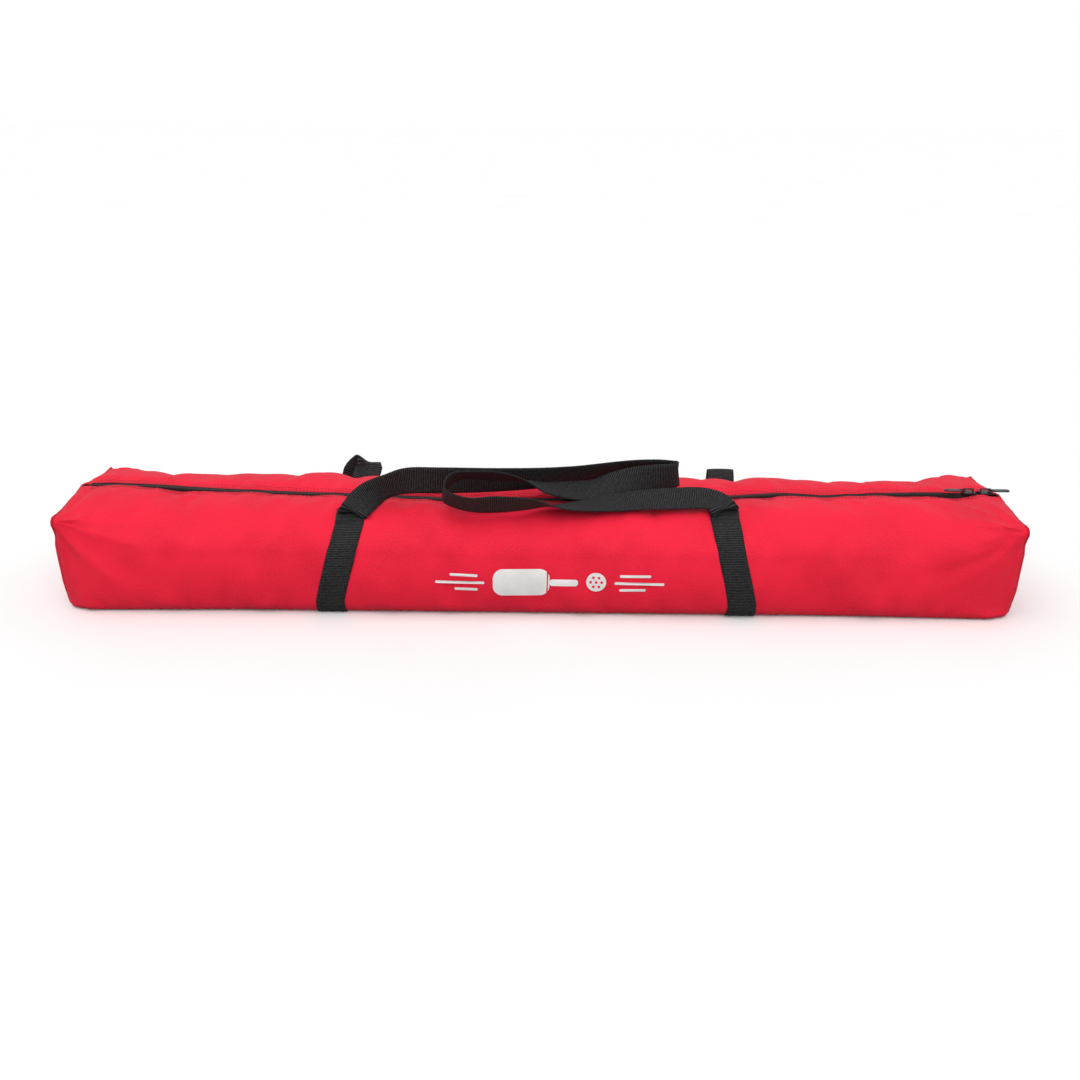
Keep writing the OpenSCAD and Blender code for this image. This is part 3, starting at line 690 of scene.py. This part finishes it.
# -------------------- stitches
def stitch_rows(name, lines, bodies, share, material, pitch=4.6, length=3.2, radius=0.34):
    """Raised thread stitches along polylines of (point, normal) on the surface."""
    verts, faces, anchors = [], [], []
    for line in lines:
        pts = np.array([p for p, _ in line])
        nrm = np.array([n for _, n in line])
        d = np.concatenate([[0], np.cumsum(np.linalg.norm(np.diff(pts, axis=0), axis=1))])
        for k in range(int(d[-1] / pitch)):
            ends = []
            for dd in (k * pitch, k * pitch + length * 0.5, k * pitch + length):
                c = np.array([np.interp(dd, d, pts[:, m]) for m in range(3)])
                n = np.array([np.interp(dd, d, nrm[:, m]) for m in range(3)])
                ends.append((c, n / np.linalg.norm(n)))
            t = ends[2][0] - ends[0][0]
            t /= max(np.linalg.norm(t), 1e-9)
            base = len(verts)
            for e, (c, n) in enumerate(ends):
                b = np.cross(t, n)
                lift = (0.05, 0.42, 0.05)[e] + 0.15
                for ca, sa in ((1, 0), (0.3, 0.9), (-0.3, 0.9), (-1, 0), (0, -0.6)):
                    verts.append(c + n * lift + (b * ca + n * sa) * radius)
                    anchors.append(c)
            for e in range(2):
                for m in range(5):
                    a, b2 = base + e * 5 + m, base + e * 5 + (m + 1) % 5
                    faces.append((a, b2, b2 + 5, a + 5))
            faces.append(tuple(base + m for m in range(4, -1, -1)))
            faces.append(tuple(base + 10 + m for m in range(5)))
    ob = mesh_object(name, np.array(verts) * MM, faces, material)
    return weigh(ob, *bodies, share(np.array(anchors)))


STITCH_FROM_EDGE = (3.2, 8.2)
for side, label, bodies, share in HALVES:
    lines = []
    for dist in STITCH_FROM_EDGE:
        lines.append([surf(side, x, row_at(side, x, dist)) for x in np.linspace(-565, 565, 240)])
    ob = stitch_rows(label + "_topstitch", lines, bodies, share, M["thread"])


# -------------------- zip
TAPE_DROP = 2.9  # tape's middle line below the fabric
TAPE_X, TAPE_N = 571.0, 320
TAPE_PROFILE = [(0.9, 0.0), (2.4, 0.25), (4.6, 0.1), (7.0, -0.6), (10, -2.0), (13.5, -3.6), (17, -5.2)]
COIL_PITCH, COIL_X, COIL_HALF = 2.3, 569.0, 0.75
SLIDER_ZONE_X = 505.0  # beyond it the teeth stand apart, as the sliders are there
ZIP_STANDS_FOR = {-1: ("front_zip_tape", "left_zip_end"), 1: ("rear_zip_tape", "right_zip_end")}


def tape_line(x):
    """Middle (y, z) of the closed zip at tape level, in mm."""
    y, z = zip_centre(x)
    return y, z - TAPE_DROP


def zip_tape(side, label):
    """Woven tape from beside the teeth to under the fabric, with a slight ripple at its outer edge."""
    tx = np.linspace(-TAPE_X, TAPE_X, TAPE_N)
    verts, uvs = [], []
    for x in tx:
        y, z = tape_line(x)
        for d, h in TAPE_PROFILE:
            ripple = 0.175 * math.sin(x / 9.0 + side) * ramp(4, 14, d)
            verts.append((x, y + side * d, z + h + ripple))
            uvs.append((x * MM, d * MM))
    faces = grid_faces(TAPE_N, len(TAPE_PROFILE), flip=side < 0)
    ob = mesh_object(f"zip_{label}_tape", np.array(verts) * MM, faces, M["tape"], uvs)
    thicken(ob, 0.0008, 1.0)
    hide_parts(*ZIP_STANDS_FOR[side])
    return ob, np.repeat(tx, len(TAPE_PROFILE))


def zip_coil(side, label):
    """A bent loop for each tooth, its head at the middle line and half a pitch off the other side's."""
    verts, faces, at = [], [], []
    for k in range(int(2 * COIL_X / COIL_PITCH)):
        x = -COIL_X + COIL_PITCH * (k + (0.5 if side > 0 else 0.0))
        y, z = tape_line(x)
        head = 0.95 if abs(x) > SLIDER_ZONE_X else 0.15
        loop = [(4.4, 0.9), (4.1, 3.4), (2.6, 4.5), (head + 0.4, 4.0), (head, 2.6), (head + 0.7, 1.2),
                (2.6, 0.8)]
        base, m = len(verts), len(loop)
        for d, h in loop:
            for e in (-COIL_HALF, COIL_HALF):
                verts.append((x + e * (1.0 if d > 1.6 else 0.72), y + side * d, z + h))
                at.append(x)
        for q in range(m):
            a, b = base + 2 * q, base + 2 * ((q + 1) % m)
            faces.append((a, a + 1, b + 1, b))
        faces.append(tuple(base + 2 * q for q in range(m)))
        faces.append(tuple(base + 2 * q + 1 for q in range(m - 1, -1, -1)))
    ob = mesh_object(f"zip_{label}_coil", np.array(verts) * MM, faces, M["coil"], smooth=False)
    return ob, np.array(at)


for side, label, bodies, _ in HALVES:
    for make in (zip_tape, zip_coil):
        ob, at = make(side, label)
        weigh(ob, "bag", label + "_flap", *bodies[2:], open_share(at))

# -------------------- webbing
WEB_W = 35.0
WEB_T = 1.5
WEB_COLUMNS = 9
WEB_STEP = 5.0
WEB_LIFT = 1.0  # middle of the sewn webbing over the fabric


def spline(rows, step):
    """Even Catmull-Rom samples through rows of equal-length vectors, by the first three numbers."""
    rows = np.array(rows, float)
    last = len(rows) - 1
    out = []
    for i in range(last):
        a, b, c, d = rows[max(i - 1, 0)], rows[i], rows[i + 1], rows[min(i + 2, last)]
        for t in np.linspace(0, 1, 12, endpoint=False):
            out.append((2 * b + (c - a) * t + (2 * a - 5 * b + 4 * c - d) * t * t
                        + (3 * b - a - 3 * c + d) * t ** 3) / 2)
    out.append(rows[-1])
    out = np.array(out)
    d = np.concatenate([[0], np.cumsum(np.linalg.norm(np.diff(out[:, :3], axis=0), axis=1))])
    t = np.linspace(0, d[-1], max(4, int(d[-1] / step)))
    return np.stack([np.interp(t, d, out[:, k]) for k in range(out.shape[1])], axis=1)


def band(name, centre, across, cup, root):
    """Webbing sheet: centre points and unit across directions; cup bows it across, in mm.

    For the root's length at each end the sheet is cut along its across direction, in line with its strap.
    """
    n = len(centre)
    d = np.concatenate([[0], np.cumsum(np.linalg.norm(np.diff(centre, axis=0), axis=1))])
    cup = np.broadcast_to(cup, n)
    head = np.gradient(centre, axis=0)
    head /= np.linalg.norm(head, axis=1, keepdims=True)
    square = across - head * np.sum(head * across, axis=1, keepdims=True)
    square /= np.linalg.norm(square, axis=1, keepdims=True)
    keep = np.clip(1 - np.minimum(d, d[-1] - d) / root, 0, 1)[:, None]
    across = mix(square, across / np.linalg.norm(across, axis=1, keepdims=True), keep)
    across /= np.linalg.norm(across, axis=1, keepdims=True)
    out = np.cross(head, across)
    verts, uvs = [], []
    for i in range(n):
        for c in range(WEB_COLUMNS):
            k = 2 * c / (WEB_COLUMNS - 1) - 1
            verts.append(centre[i] + across[i] * k * WEB_W / 2 + out[i] * cup[i] * (1 - k * k))
            uvs.append((k * WEB_W / 2 * MM, d[i] * MM))
    ob = mesh_object(name, np.array(verts) * MM, grid_faces(n, WEB_COLUMNS), M["web"], uvs)
    thicken(ob, WEB_T * MM, 0.0)
    return ob, d


def strap(name, side, stops):
    """Webbing sewn flat on the bag, its middle through (x, row) stops; also gives its points and rows."""
    stops = np.array(stops, float)
    t = np.linspace(0, len(stops) - 1, 400)
    path = np.stack([np.interp(t, np.arange(len(stops)), stops[:, k]) for k in range(2)], axis=1)
    pts = np.array([surf(side, x, j)[0] for x, j in path])
    d = np.concatenate([[0], np.cumsum(np.linalg.norm(np.diff(pts, axis=0), axis=1))])
    tt = np.linspace(0, d[-1], int(d[-1] / WEB_STEP))
    px, pj = np.interp(tt, d, path[:, 0]), np.interp(tt, d, path[:, 1])
    verts, uvs = [], []
    for x, j, s in zip(px, pj, tt):
        for c in range(WEB_COLUMNS):
            k = (2 * c / (WEB_COLUMNS - 1) - 1) * WEB_W / 2
            q, n = surf(side, x + k, j)
            flat = surf(side, x, j)[0] + np.array([k, 0, 0])
            verts.append(q * 0.6 + flat * 0.4 + n * WEB_LIFT)
            uvs.append((k * MM, s * MM))
    verts = np.array(verts)
    ob = mesh_object(name, verts * MM, grid_faces(len(tt), WEB_COLUMNS, flip=side < 0), M["web"], uvs)
    thicken(ob, WEB_T * MM, 0.0)
    return ob, verts, len(tt)


# Where the two front straps run: under the bag, at the top of the face, and at the handle's root
FOOT_X = (-254.0, 246.0)
FOLD_X = (-238.0, 231.0)
ROOT_X = (-229.0, 223.0)
ROOT_S = 34.0  # from the zip's edge to the root

for i, label in enumerate(("left", "right")):
    j_end = row_at(-1, ROOT_X[i], ROOT_S + 29)
    j_fold = row_at_z(-1, FOLD_X[i], 82)
    j_low = row_at_z(-1, FOOT_X[i], 20)
    stops = [(FOOT_X[i], NU - 1), (FOOT_X[i], NU - N_BOTTOM // 2), (FOOT_X[i], j_low), (FOLD_X[i], j_fold),
             (mix(FOLD_X[i], ROOT_X[i], 0.6), mix(j_fold, j_end, 0.5)), (ROOT_X[i], j_end)]
    ob, v, n = strap(label + "_front_strap", -1, stops)
    weigh(ob, *FRONT, front_share(v))
    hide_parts(("carry_webbing", "flap_webbing")[i])
    grid = v.reshape(n, WEB_COLUMNS, 3)
    lines = []
    for col in (1, WEB_COLUMNS - 2):
        nrm = np.cross(np.gradient(grid[:, col], axis=0), grid[:, -1] - grid[:, 0])
        nrm /= np.linalg.norm(nrm, axis=1, keepdims=True)
        nrm *= np.sign(-nrm[:, 1:2] - 0.2 * np.abs(nrm[:, 2:3]) + 1e-9)
        lines.append([(grid[r, col] + nrm[r] * WEB_T / 2, nrm[r]) for r in range(4, n)])
    ob = stitch_rows(label + "_strap_stitches", lines, FRONT, front_share, M["web_thread"], 3.6, 2.5, 0.28)

# Rear straps: under the bag, up the rear face to the roll
REAR_X = (-246.0, 242.0)
REAR_TOP_ROW = N_TOP + N_ARC * 0.42
for i, label in enumerate(("left", "right")):
    stops = [(FOOT_X[i], NU - 1), (FOOT_X[i], NU - N_BOTTOM // 2),
             (REAR_X[i], row_at_z(1, REAR_X[i], 30)), (REAR_X[i], REAR_TOP_ROW)]
    ob, _, _ = strap(label + "_rear_strap", 1, stops)
    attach(ob, "bag")

# Front handle, thrown over the top of the bag: folded, twisted, part lit and part edge-on
# Rows are the middle point and the direction across the webbing.
HANDLE_F = [
    [-225, -78, 124.5, -0.98, 0.1, 0.1], [-218, -69, 132, -0.9, -0.05, 0.3],
    [-206, -59, 140.5, -0.72, -0.25, 0.58], [-187, -49, 148.5, -0.3, -0.42, 0.86],
    [-163, -41, 153, 0, -0.15, 1], [-123, -37, 152.5, 0, -0.15, 1],
    [-60, -30, 151.5, 0, -0.3, 0.95], [0, -20, 151.5, 0, -0.47, 0.88], [41, -8, 153, 0, -0.63, 0.78],
    [105, 4, 158.5, 0, -0.69, 0.72], [144, 9, 156.5, -0.1, -0.54, 0.83], [166, 7, 153.5, -0.1, -0.36, 0.92],
    [173, 1, 152.5, -0.1, -0.3, 0.95], [162, -7, 151.5, 0, -0.2, 1], [124, -15, 149, 0, 0.2, 0.97],
    [97, -22, 145, 0, 0.55, 0.83], [71, -29, 141, 0, 0.88, 0.45], [41, -36, 141, 0, 0.93, 0.35],
    [5, -45, 147, 0, 1, 0.05], [-17, -48, 156, 0, 0.95, -0.3], [-50, -51, 163, 0, 0.83, -0.56],
    [-92, -57, 166, 0, 0.86, -0.5], [-108, -66, 162, 0.05, 0.83, -0.55],
    [-116, -82, 154.5, -0.1, 0.78, -0.62], [-110, -89, 147, -0.2, 0.73, -0.65],
    [-84, -90, 139.5, -0.1, 0.7, -0.7], [-55, -88, 139.5, 0, 0.63, -0.78],
    [-14, -84, 139, 0, 0.77, -0.64], [17, -78, 134.5, 0, 0.96, -0.28], [42, -72, 132.5, 0, 1, -0.05],
    [90, -59, 133.5, 0, 0.95, 0.28], [121, -55, 136, 0, 0.92, 0.38], [160, -54, 138, 0, 0.88, 0.47],
    [188, -54, 139.5, 0.05, 0.88, 0.47], [205, -56, 139, 0.36, 0.84, 0.4], [216, -62, 136, 0.7, 0.64, 0.3],
    [222, -71, 130.5, 0.94, 0.3, 0.1],
]


def root_rows(i, order):
    """Rows where the handle lies on the bag beside its strap, before it lifts off."""
    rows = []
    for s in (ROOT_S + 30, ROOT_S + 22, ROOT_S + 15, ROOT_S + 8):
        q, n = surf(-1, ROOT_X[i], row_at(-1, ROOT_X[i], s))
        q = q + n * (1.0 + 0.04 * (ROOT_S + 30 - s))
        rows.append([*q, (-1 if i == 0 else 1), 0, 0])
    return rows[::order]


def carry_handle(name, rows, cup, root, bodies, start, end, bend):
    """A loop of webbing through rows; its share from sewn ends to free between the two bend lengths is worked
    out and handed to weigh, which does not use it.
    """
    samples = spline(rows, WEB_STEP)
    ripple = cup(np.linspace(0, 1, len(samples)))
    ob, d = band(name, samples[:, :3], samples[:, 3:], ripple, root)
    share = np.minimum(ramp(*bend, d), ramp(d[-1] - bend[0], d[-1] - bend[1], d))
    weigh(ob, *bodies, start, end, np.repeat(share, WEB_COLUMNS))
    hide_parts(bodies[1])


carry_handle(
    "front_carry_handle", root_rows(0, 1) + HANDLE_F + root_rows(1, -1),
    lambda t: -0.9 * np.sin(9 * t) ** 2, 40.0,
    ("front_flap", "front_handle"), (0, -0.095, 0.115), (0, -0.08, 0.13), (24, 70),
)

# Rear handle: from both humps on the rear edge down behind the bag
HANDLE_R = [
    [-231, 100, 125.5, -0.95, 0, 0.3], [-232.5, 105, 131.5, -0.91, 0, 0.41],
    [-239, 110, 127, -0.9, 0.05, 0.42],
    [-252, 113, 112, -0.95, 0, 0.3], [-251, 113.5, 88, -1, 0, 0.05], [-238, 114, 58, -0.9, 0, -0.35],
    [-215, 114.5, 37, -0.5, 0, -0.85], [-180, 115, 30, -0.1, 0, -1], [-90, 115.5, 28, 0, 0.02, -1],
    [0, 114.5, 27, 0, 0.1, -1], [90, 115.5, 28, 0, 0.02, -1], [180, 115, 30, 0.1, 0, -1],
    [212, 114.5, 37, 0.5, 0, -0.85], [235, 114, 58, 0.9, 0, -0.35], [241, 113.5, 88, 1, 0, 0.05],
    [242, 112.5, 108, 1, 0, 0], [242, 109, 122, 1, 0, 0], [242, 103.5, 126.5, 1, 0, 0],
]


def rear_root(i, order):
    """Rows where the rear handle leaves its strap on the roll of the top edge."""
    rows = []
    for k, f in ((0, 0.9), (1, 0.5)):
        q, n = surf(1, REAR_X[i] + (6 + 4 * k if i == 0 else 0), N_TOP + N_ARC * f)
        rows.append([*(q + n * 2.6), (-1 if i == 0 else 1), 0, 0])
    return rows[::order]


carry_handle(
    "rear_carry_handle", rear_root(0, 1) + HANDLE_R + rear_root(1, -1), lambda t: 0.8 + 0 * t, 20.0,
    ("bag", "rear_handle"), (0, 0.1, 0.12), (0, 0.112, 0.11), (26, 62),
)

# -------------------- generic printed sign: paddle, ball, lines
PRINT_LIFT, OVERPRINT_LIFT = 1.0, 1.3


def stamp(name, outline, centre, rings=10, lift=PRINT_LIFT, material="print"):
    """A flat figure round a centre, given as (x, height) outline points, laid on the front face."""
    outline = np.array(outline, float)
    centre = np.array(centre, float)
    verts, faces = [], []
    n = len(outline)
    pts = [centre] + [mix(centre, o, (k + 1) / rings) for k in range(rings) for o in outline]
    for x, z in pts:
        q, nrm = surf(-1, x, row_at_z(-1, x, z))
        verts.append(q + nrm * lift)
    for c in range(n):
        faces.append((0, 1 + c, 1 + (c + 1) % n))
    for k in range(rings - 1):
        for c in range(n):
            a, b = 1 + k * n + c, 1 + k * n + (c + 1) % n
            faces.append((a, a + n, b + n, b))
    ob = mesh_object(name, np.array(verts) * MM, faces, M[material])
    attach(ob, "bag")
    return ob


def rounded(cx, cz, hw, hh, r, per=10):
    """Outline of a rectangle with round corners, from its middle and half sizes."""
    pts = []
    for qx, qz, a0 in ((1, 1, 0), (-1, 1, 90), (-1, -1, 180), (1, -1, 270)):
        for k in range(per):
            a = math.radians(a0 + 90 * k / (per - 1))
            pts.append((cx + qx * (hw - r) + r * math.cos(a), cz + qz * (hh - r) + r * math.sin(a)))
    return pts


PX, PZ = 2.0, 48.0
stamp("print_paddle_face", rounded(PX - 24, PZ, 34, 17.5, 12.5), (PX - 22, PZ))
stamp("print_paddle_grip", rounded(PX + 27, PZ, 17, 4.2, 3.4), (PX + 27, PZ), 5)
stamp("print_paddle_ring", rounded(PX + 7.2, PZ, 1.0, 14.5, 0.7), (PX + 7.2, PZ), 8, OVERPRINT_LIFT, "fabric")
BALL, BALL_R, HOLE_R, HOLE_OUT = (PX + 66, PZ + 1), 12.0, 1.7, 6.6
stamp("print_ball", rounded(*BALL, BALL_R, BALL_R, BALL_R - 0.1, 9), BALL, 6)
for k in range(7):
    a, out = math.radians(60 * k), HOLE_OUT if k < 6 else 0.0
    hole = (BALL[0] + out * math.cos(a), BALL[1] + out * math.sin(a))
    outline = rounded(*hole, HOLE_R, HOLE_R, HOLE_R - 0.01, 4)
    stamp(f"print_ball_hole_{k + 1}", outline, hole, 2, OVERPRINT_LIFT, "fabric")
SPEED_LINES = ((9, 96, 134), (0, 90, 150), (-9, 96, 128), (9, -108, -74), (0, -126, -66), (-9, -102, -74))
for k, (dz, x0, x1) in enumerate(SPEED_LINES):
    middle = ((x0 + x1) / 2, PZ + dz)
    stamp(f"print_line_{k + 1}", rounded(*middle, (x1 - x0) / 2, 1.7, 1.6, 6), middle, 4)


# -------------------- the rolled net and its ties
roll_lo, roll_hi = (np.array(v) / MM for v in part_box("net_roll"))
ROLL_Z = (roll_lo[2] + roll_hi[2]) / 2
ROLL_R = (roll_hi[2] - roll_lo[2]) / 2
ROLL_HALF = (roll_hi[1] - roll_lo[1]) / 2


def roll_point(turn, r, x):
    """Point on the flattened roll: turn in radians, r the share of its full radius."""
    rr = ROLL_R * r
    flat = (ROLL_HALF - ROLL_R) * r
    c, s = math.cos(turn), math.sin(turn)
    slump = 1.1 * math.sin(x / 47.0) + 0.7 * math.sin(x / 19.0 + 2)
    height = rr * (0.985 + 0.012 * math.sin(x / 31.0)) + 0.25 * slump
    return x, c * rr + flat * math.tanh(2.4 * c), ROLL_Z + s * height


def roll_sleeve(name, node, x0, x1, grow, material, step=8.0, segs=72):
    """Outside of one stretch of the roll, standing grow mm off it."""
    xs_r = np.linspace(x0, x1, max(3, int((x1 - x0) / step)))
    verts, uvs = [], []
    for x in xs_r:
        for k in range(segs):
            a = 2 * math.pi * k / segs
            r = 1 + grow / ROLL_R + 0.012 * math.sin(5 * a + x / 40.0)
            verts.append(roll_point(a, r, x))
            uvs.append((x * MM, a * ROLL_HALF * MM))
    ob = mesh_object(name, np.array(verts) * MM, grid_faces(len(xs_r), segs, wrap=True), material, uvs)
    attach(ob, "bag")
    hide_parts(node)
    if grow:
        thicken(ob, 0.0009, 1.0)
    return ob


def roll_end(name, x, sign, material):
    """The wound layers seen at the end of the roll, as one spiral strip."""
    turns, per = 6.0, 56
    n = int(turns * per)
    verts, uvs = [], []
    for k in range(n + 1):
        a = 2 * math.pi * k / per
        r = 0.10 + 0.86 * k / n
        for w in (0.0, 1.0):
            px = x - sign * 9.0 * (1 - w) + sign * 0.6 * math.sin(a * 3)
            verts.append(roll_point(a, r, px))
            uvs.append((px * MM, a * 0.03))
    ob = mesh_object(name, np.array(verts) * MM, grid_faces(n + 1, 2), material, uvs)
    thicken(ob, 0.0014, 0.0)
    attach(ob, "bag")
    return ob


band_lo, band_hi = (np.array(v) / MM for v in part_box("net_headband"))
foot_lo, foot_hi = (np.array(v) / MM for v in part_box("net_foot_tape"))
ROLL_INSET = 2.0  # the end windings start this far in
band_end, foot_end = band_hi[0] - ROLL_INSET, foot_lo[0] + ROLL_INSET
roll_sleeve("net_mesh_roll", "net_roll", roll_lo[0], roll_hi[0], 0.0, M["net"])
roll_sleeve("net_white_band", "net_headband", band_lo[0], band_end, 0.4, M["band"])
roll_sleeve("net_bottom_tape", "net_foot_tape", foot_end, foot_hi[0], 0.3, M["web"])
roll_end("net_band_layers", band_end, 1, M["band"])
roll_end("net_tape_layers", foot_end, -1, M["web"])

TIE_W, TIE_COLUMNS, TIE_SEGS = 25.0, 5, 90
TIE_TURNS, TIE_START, TIE_LAP = 1.09, 0.9, 1.6
tie_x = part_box("net_ties")[1][0] / MM - TIE_W / 2
for k, sign in enumerate((-1, 1)):
    verts, uvs = [], []
    for q in range(TIE_SEGS):
        a = 2 * math.pi * (q / (TIE_SEGS - 1)) * TIE_TURNS + TIE_START
        lap = TIE_LAP if q > TIE_SEGS * 0.915 else 0.0
        for c in range(TIE_COLUMNS):
            over = (c / (TIE_COLUMNS - 1) - 0.5) * TIE_W
            x = sign * tie_x + over + 0.6 * math.sin(a * 2)
            verts.append(roll_point(a, 1 + (0.9 + lap) / ROLL_R, x))
            uvs.append((over * MM, a * 0.05))
    faces = grid_faces(TIE_SEGS, TIE_COLUMNS)
    ob = mesh_object(f"net_tie_{k + 1}", np.array(verts) * MM, faces, M["web"], uvs)
    thicken(ob, 0.0012, 1.0)
    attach(ob, "bag")
    if k == 0:
        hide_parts("net_ties")

# -------------------- finishes on the pieces kept from CAD
FINISH = {
    "slider": ("zip_slider_a", "zip_slider_b"),
    "pull": ("zip_pull_a", "zip_pull_b"),
    "tube": [f"crossbar_{i}" for i in range(1, 7)]
    + ["left_post", "right_post", "centre_post", "left_base", "right_base", "centre_base"],
    "steel": [f"snap_button_{i}" for i in range(1, 7)],
    "plastic": ("left_post_cap", "right_post_cap", "centre_cradle", "left_base_knob", "right_base_knob",
                "centre_base_knob"),
    "rubber": ("foot_caps",),
    "cord": ("shock_cords",),
}
for key, names in FINISH.items():
    for name in names:
        ob = NODES[name]
        if not ob.material_slots:
            ob.data.materials.append(None)
        for ms in ob.material_slots:
            ms.material = M[key]

# -------------------- floor, light, camera
scene = bpy.context.scene
FLOOR_SIZE, FLOOR_Z = 60, -0.0006
bpy.ops.mesh.primitive_plane_add(size=FLOOR_SIZE, location=(0, 0, FLOOR_Z))
floor = bpy.context.object
floor.name = "studio_floor"
g = Graph("studio_white")
vec = g.coords(uv=False)
paper = g.ramp(g.noise(vec, 3, 2), [(0.3, (0.98, 0.98, 0.98)), (0.7, (1.0, 1.0, 1.0))])
g.put(Base_Color=paper, Roughness=0.6, Specular_IOR_Level=0.1)
# Seen white, but giving back less light than white would, like paper under a flagged lamp
dim = g.add("ShaderNodeBsdfDiffuse", Color=(0.36, 0.36, 0.36, 1))
eye, choose = g.add("ShaderNodeLightPath"), g.add("ShaderNodeMixShader")
g.link(eye.outputs["Is Camera Ray"], choose.inputs[0])
g.link(dim.outputs[0], choose.inputs[1])
g.link(g.bsdf.outputs[0], choose.inputs[2])
g.link(choose.outputs[0], g.out.inputs["Surface"])
floor.data.materials.append(g.material)

world = bpy.data.worlds.new("studio_world")
world.use_nodes = True
wt = world.node_tree
SKY_LIGHT, SKY_SEEN = 0.56, 1.0
soft, seen = wt.nodes["Background"], wt.nodes.new("ShaderNodeBackground")
for node, strength in ((soft, SKY_LIGHT), (seen, SKY_SEEN)):
    node.inputs[0].default_value = (1, 1, 1, 1)
    node.inputs[1].default_value = strength
ray, pick = wt.nodes.new("ShaderNodeLightPath"), wt.nodes.new("ShaderNodeMixShader")
wt.links.new(ray.outputs["Is Camera Ray"], pick.inputs[0])
wt.links.new(soft.outputs[0], pick.inputs[1])
wt.links.new(seen.outputs[0], pick.inputs[2])
wt.links.new(pick.outputs[0], wt.nodes["World Output"].inputs["Surface"])
scene.world = world
scene.view_settings.view_transform = "Standard"


def sun(name, direction, strength, degrees):
    """Soft light from a wide patch of sky, the same everywhere on the floor."""
    light = bpy.data.lights.new(name, "SUN")
    light.energy, light.angle = strength, math.radians(degrees)
    ob = bpy.data.objects.new(name, light)
    ob.location = direction
    ob.rotation_euler = (-Vector(direction)).to_track_quat("-Z", "Y").to_euler()
    scene.collection.objects.link(ob)


sun("key_top", (-0.35, -0.25, 1.0), 0.8, 60)
sun("fill_front", (0.12, -0.95, 0.75), 1.32, 50)

CAMERA_AT = Vector((0.0, -1.4004, 0.5909))
LOOK_AT = Vector((0.0, 0.0, 0.0618))
ROLL = math.radians(0.62)
back = (CAMERA_AT - LOOK_AT).normalized()
right = Vector((1, 0, 0))
up = back.cross(right)
cx = right * math.cos(ROLL) + up * math.sin(ROLL)
cy = -right * math.sin(ROLL) + up * math.cos(ROLL)
cam_data = bpy.data.cameras.new("studio_camera")
cam_data.sensor_width, cam_data.lens = 36.0, 38.83
cam_data.clip_start = 0.01
cam = bpy.data.objects.new("studio_camera", cam_data)
m = Matrix((cx, cy, back)).transposed().to_4x4()
m.translation = CAMERA_AT
cam.matrix_world = m
scene.collection.objects.link(cam)
scene.camera = cam
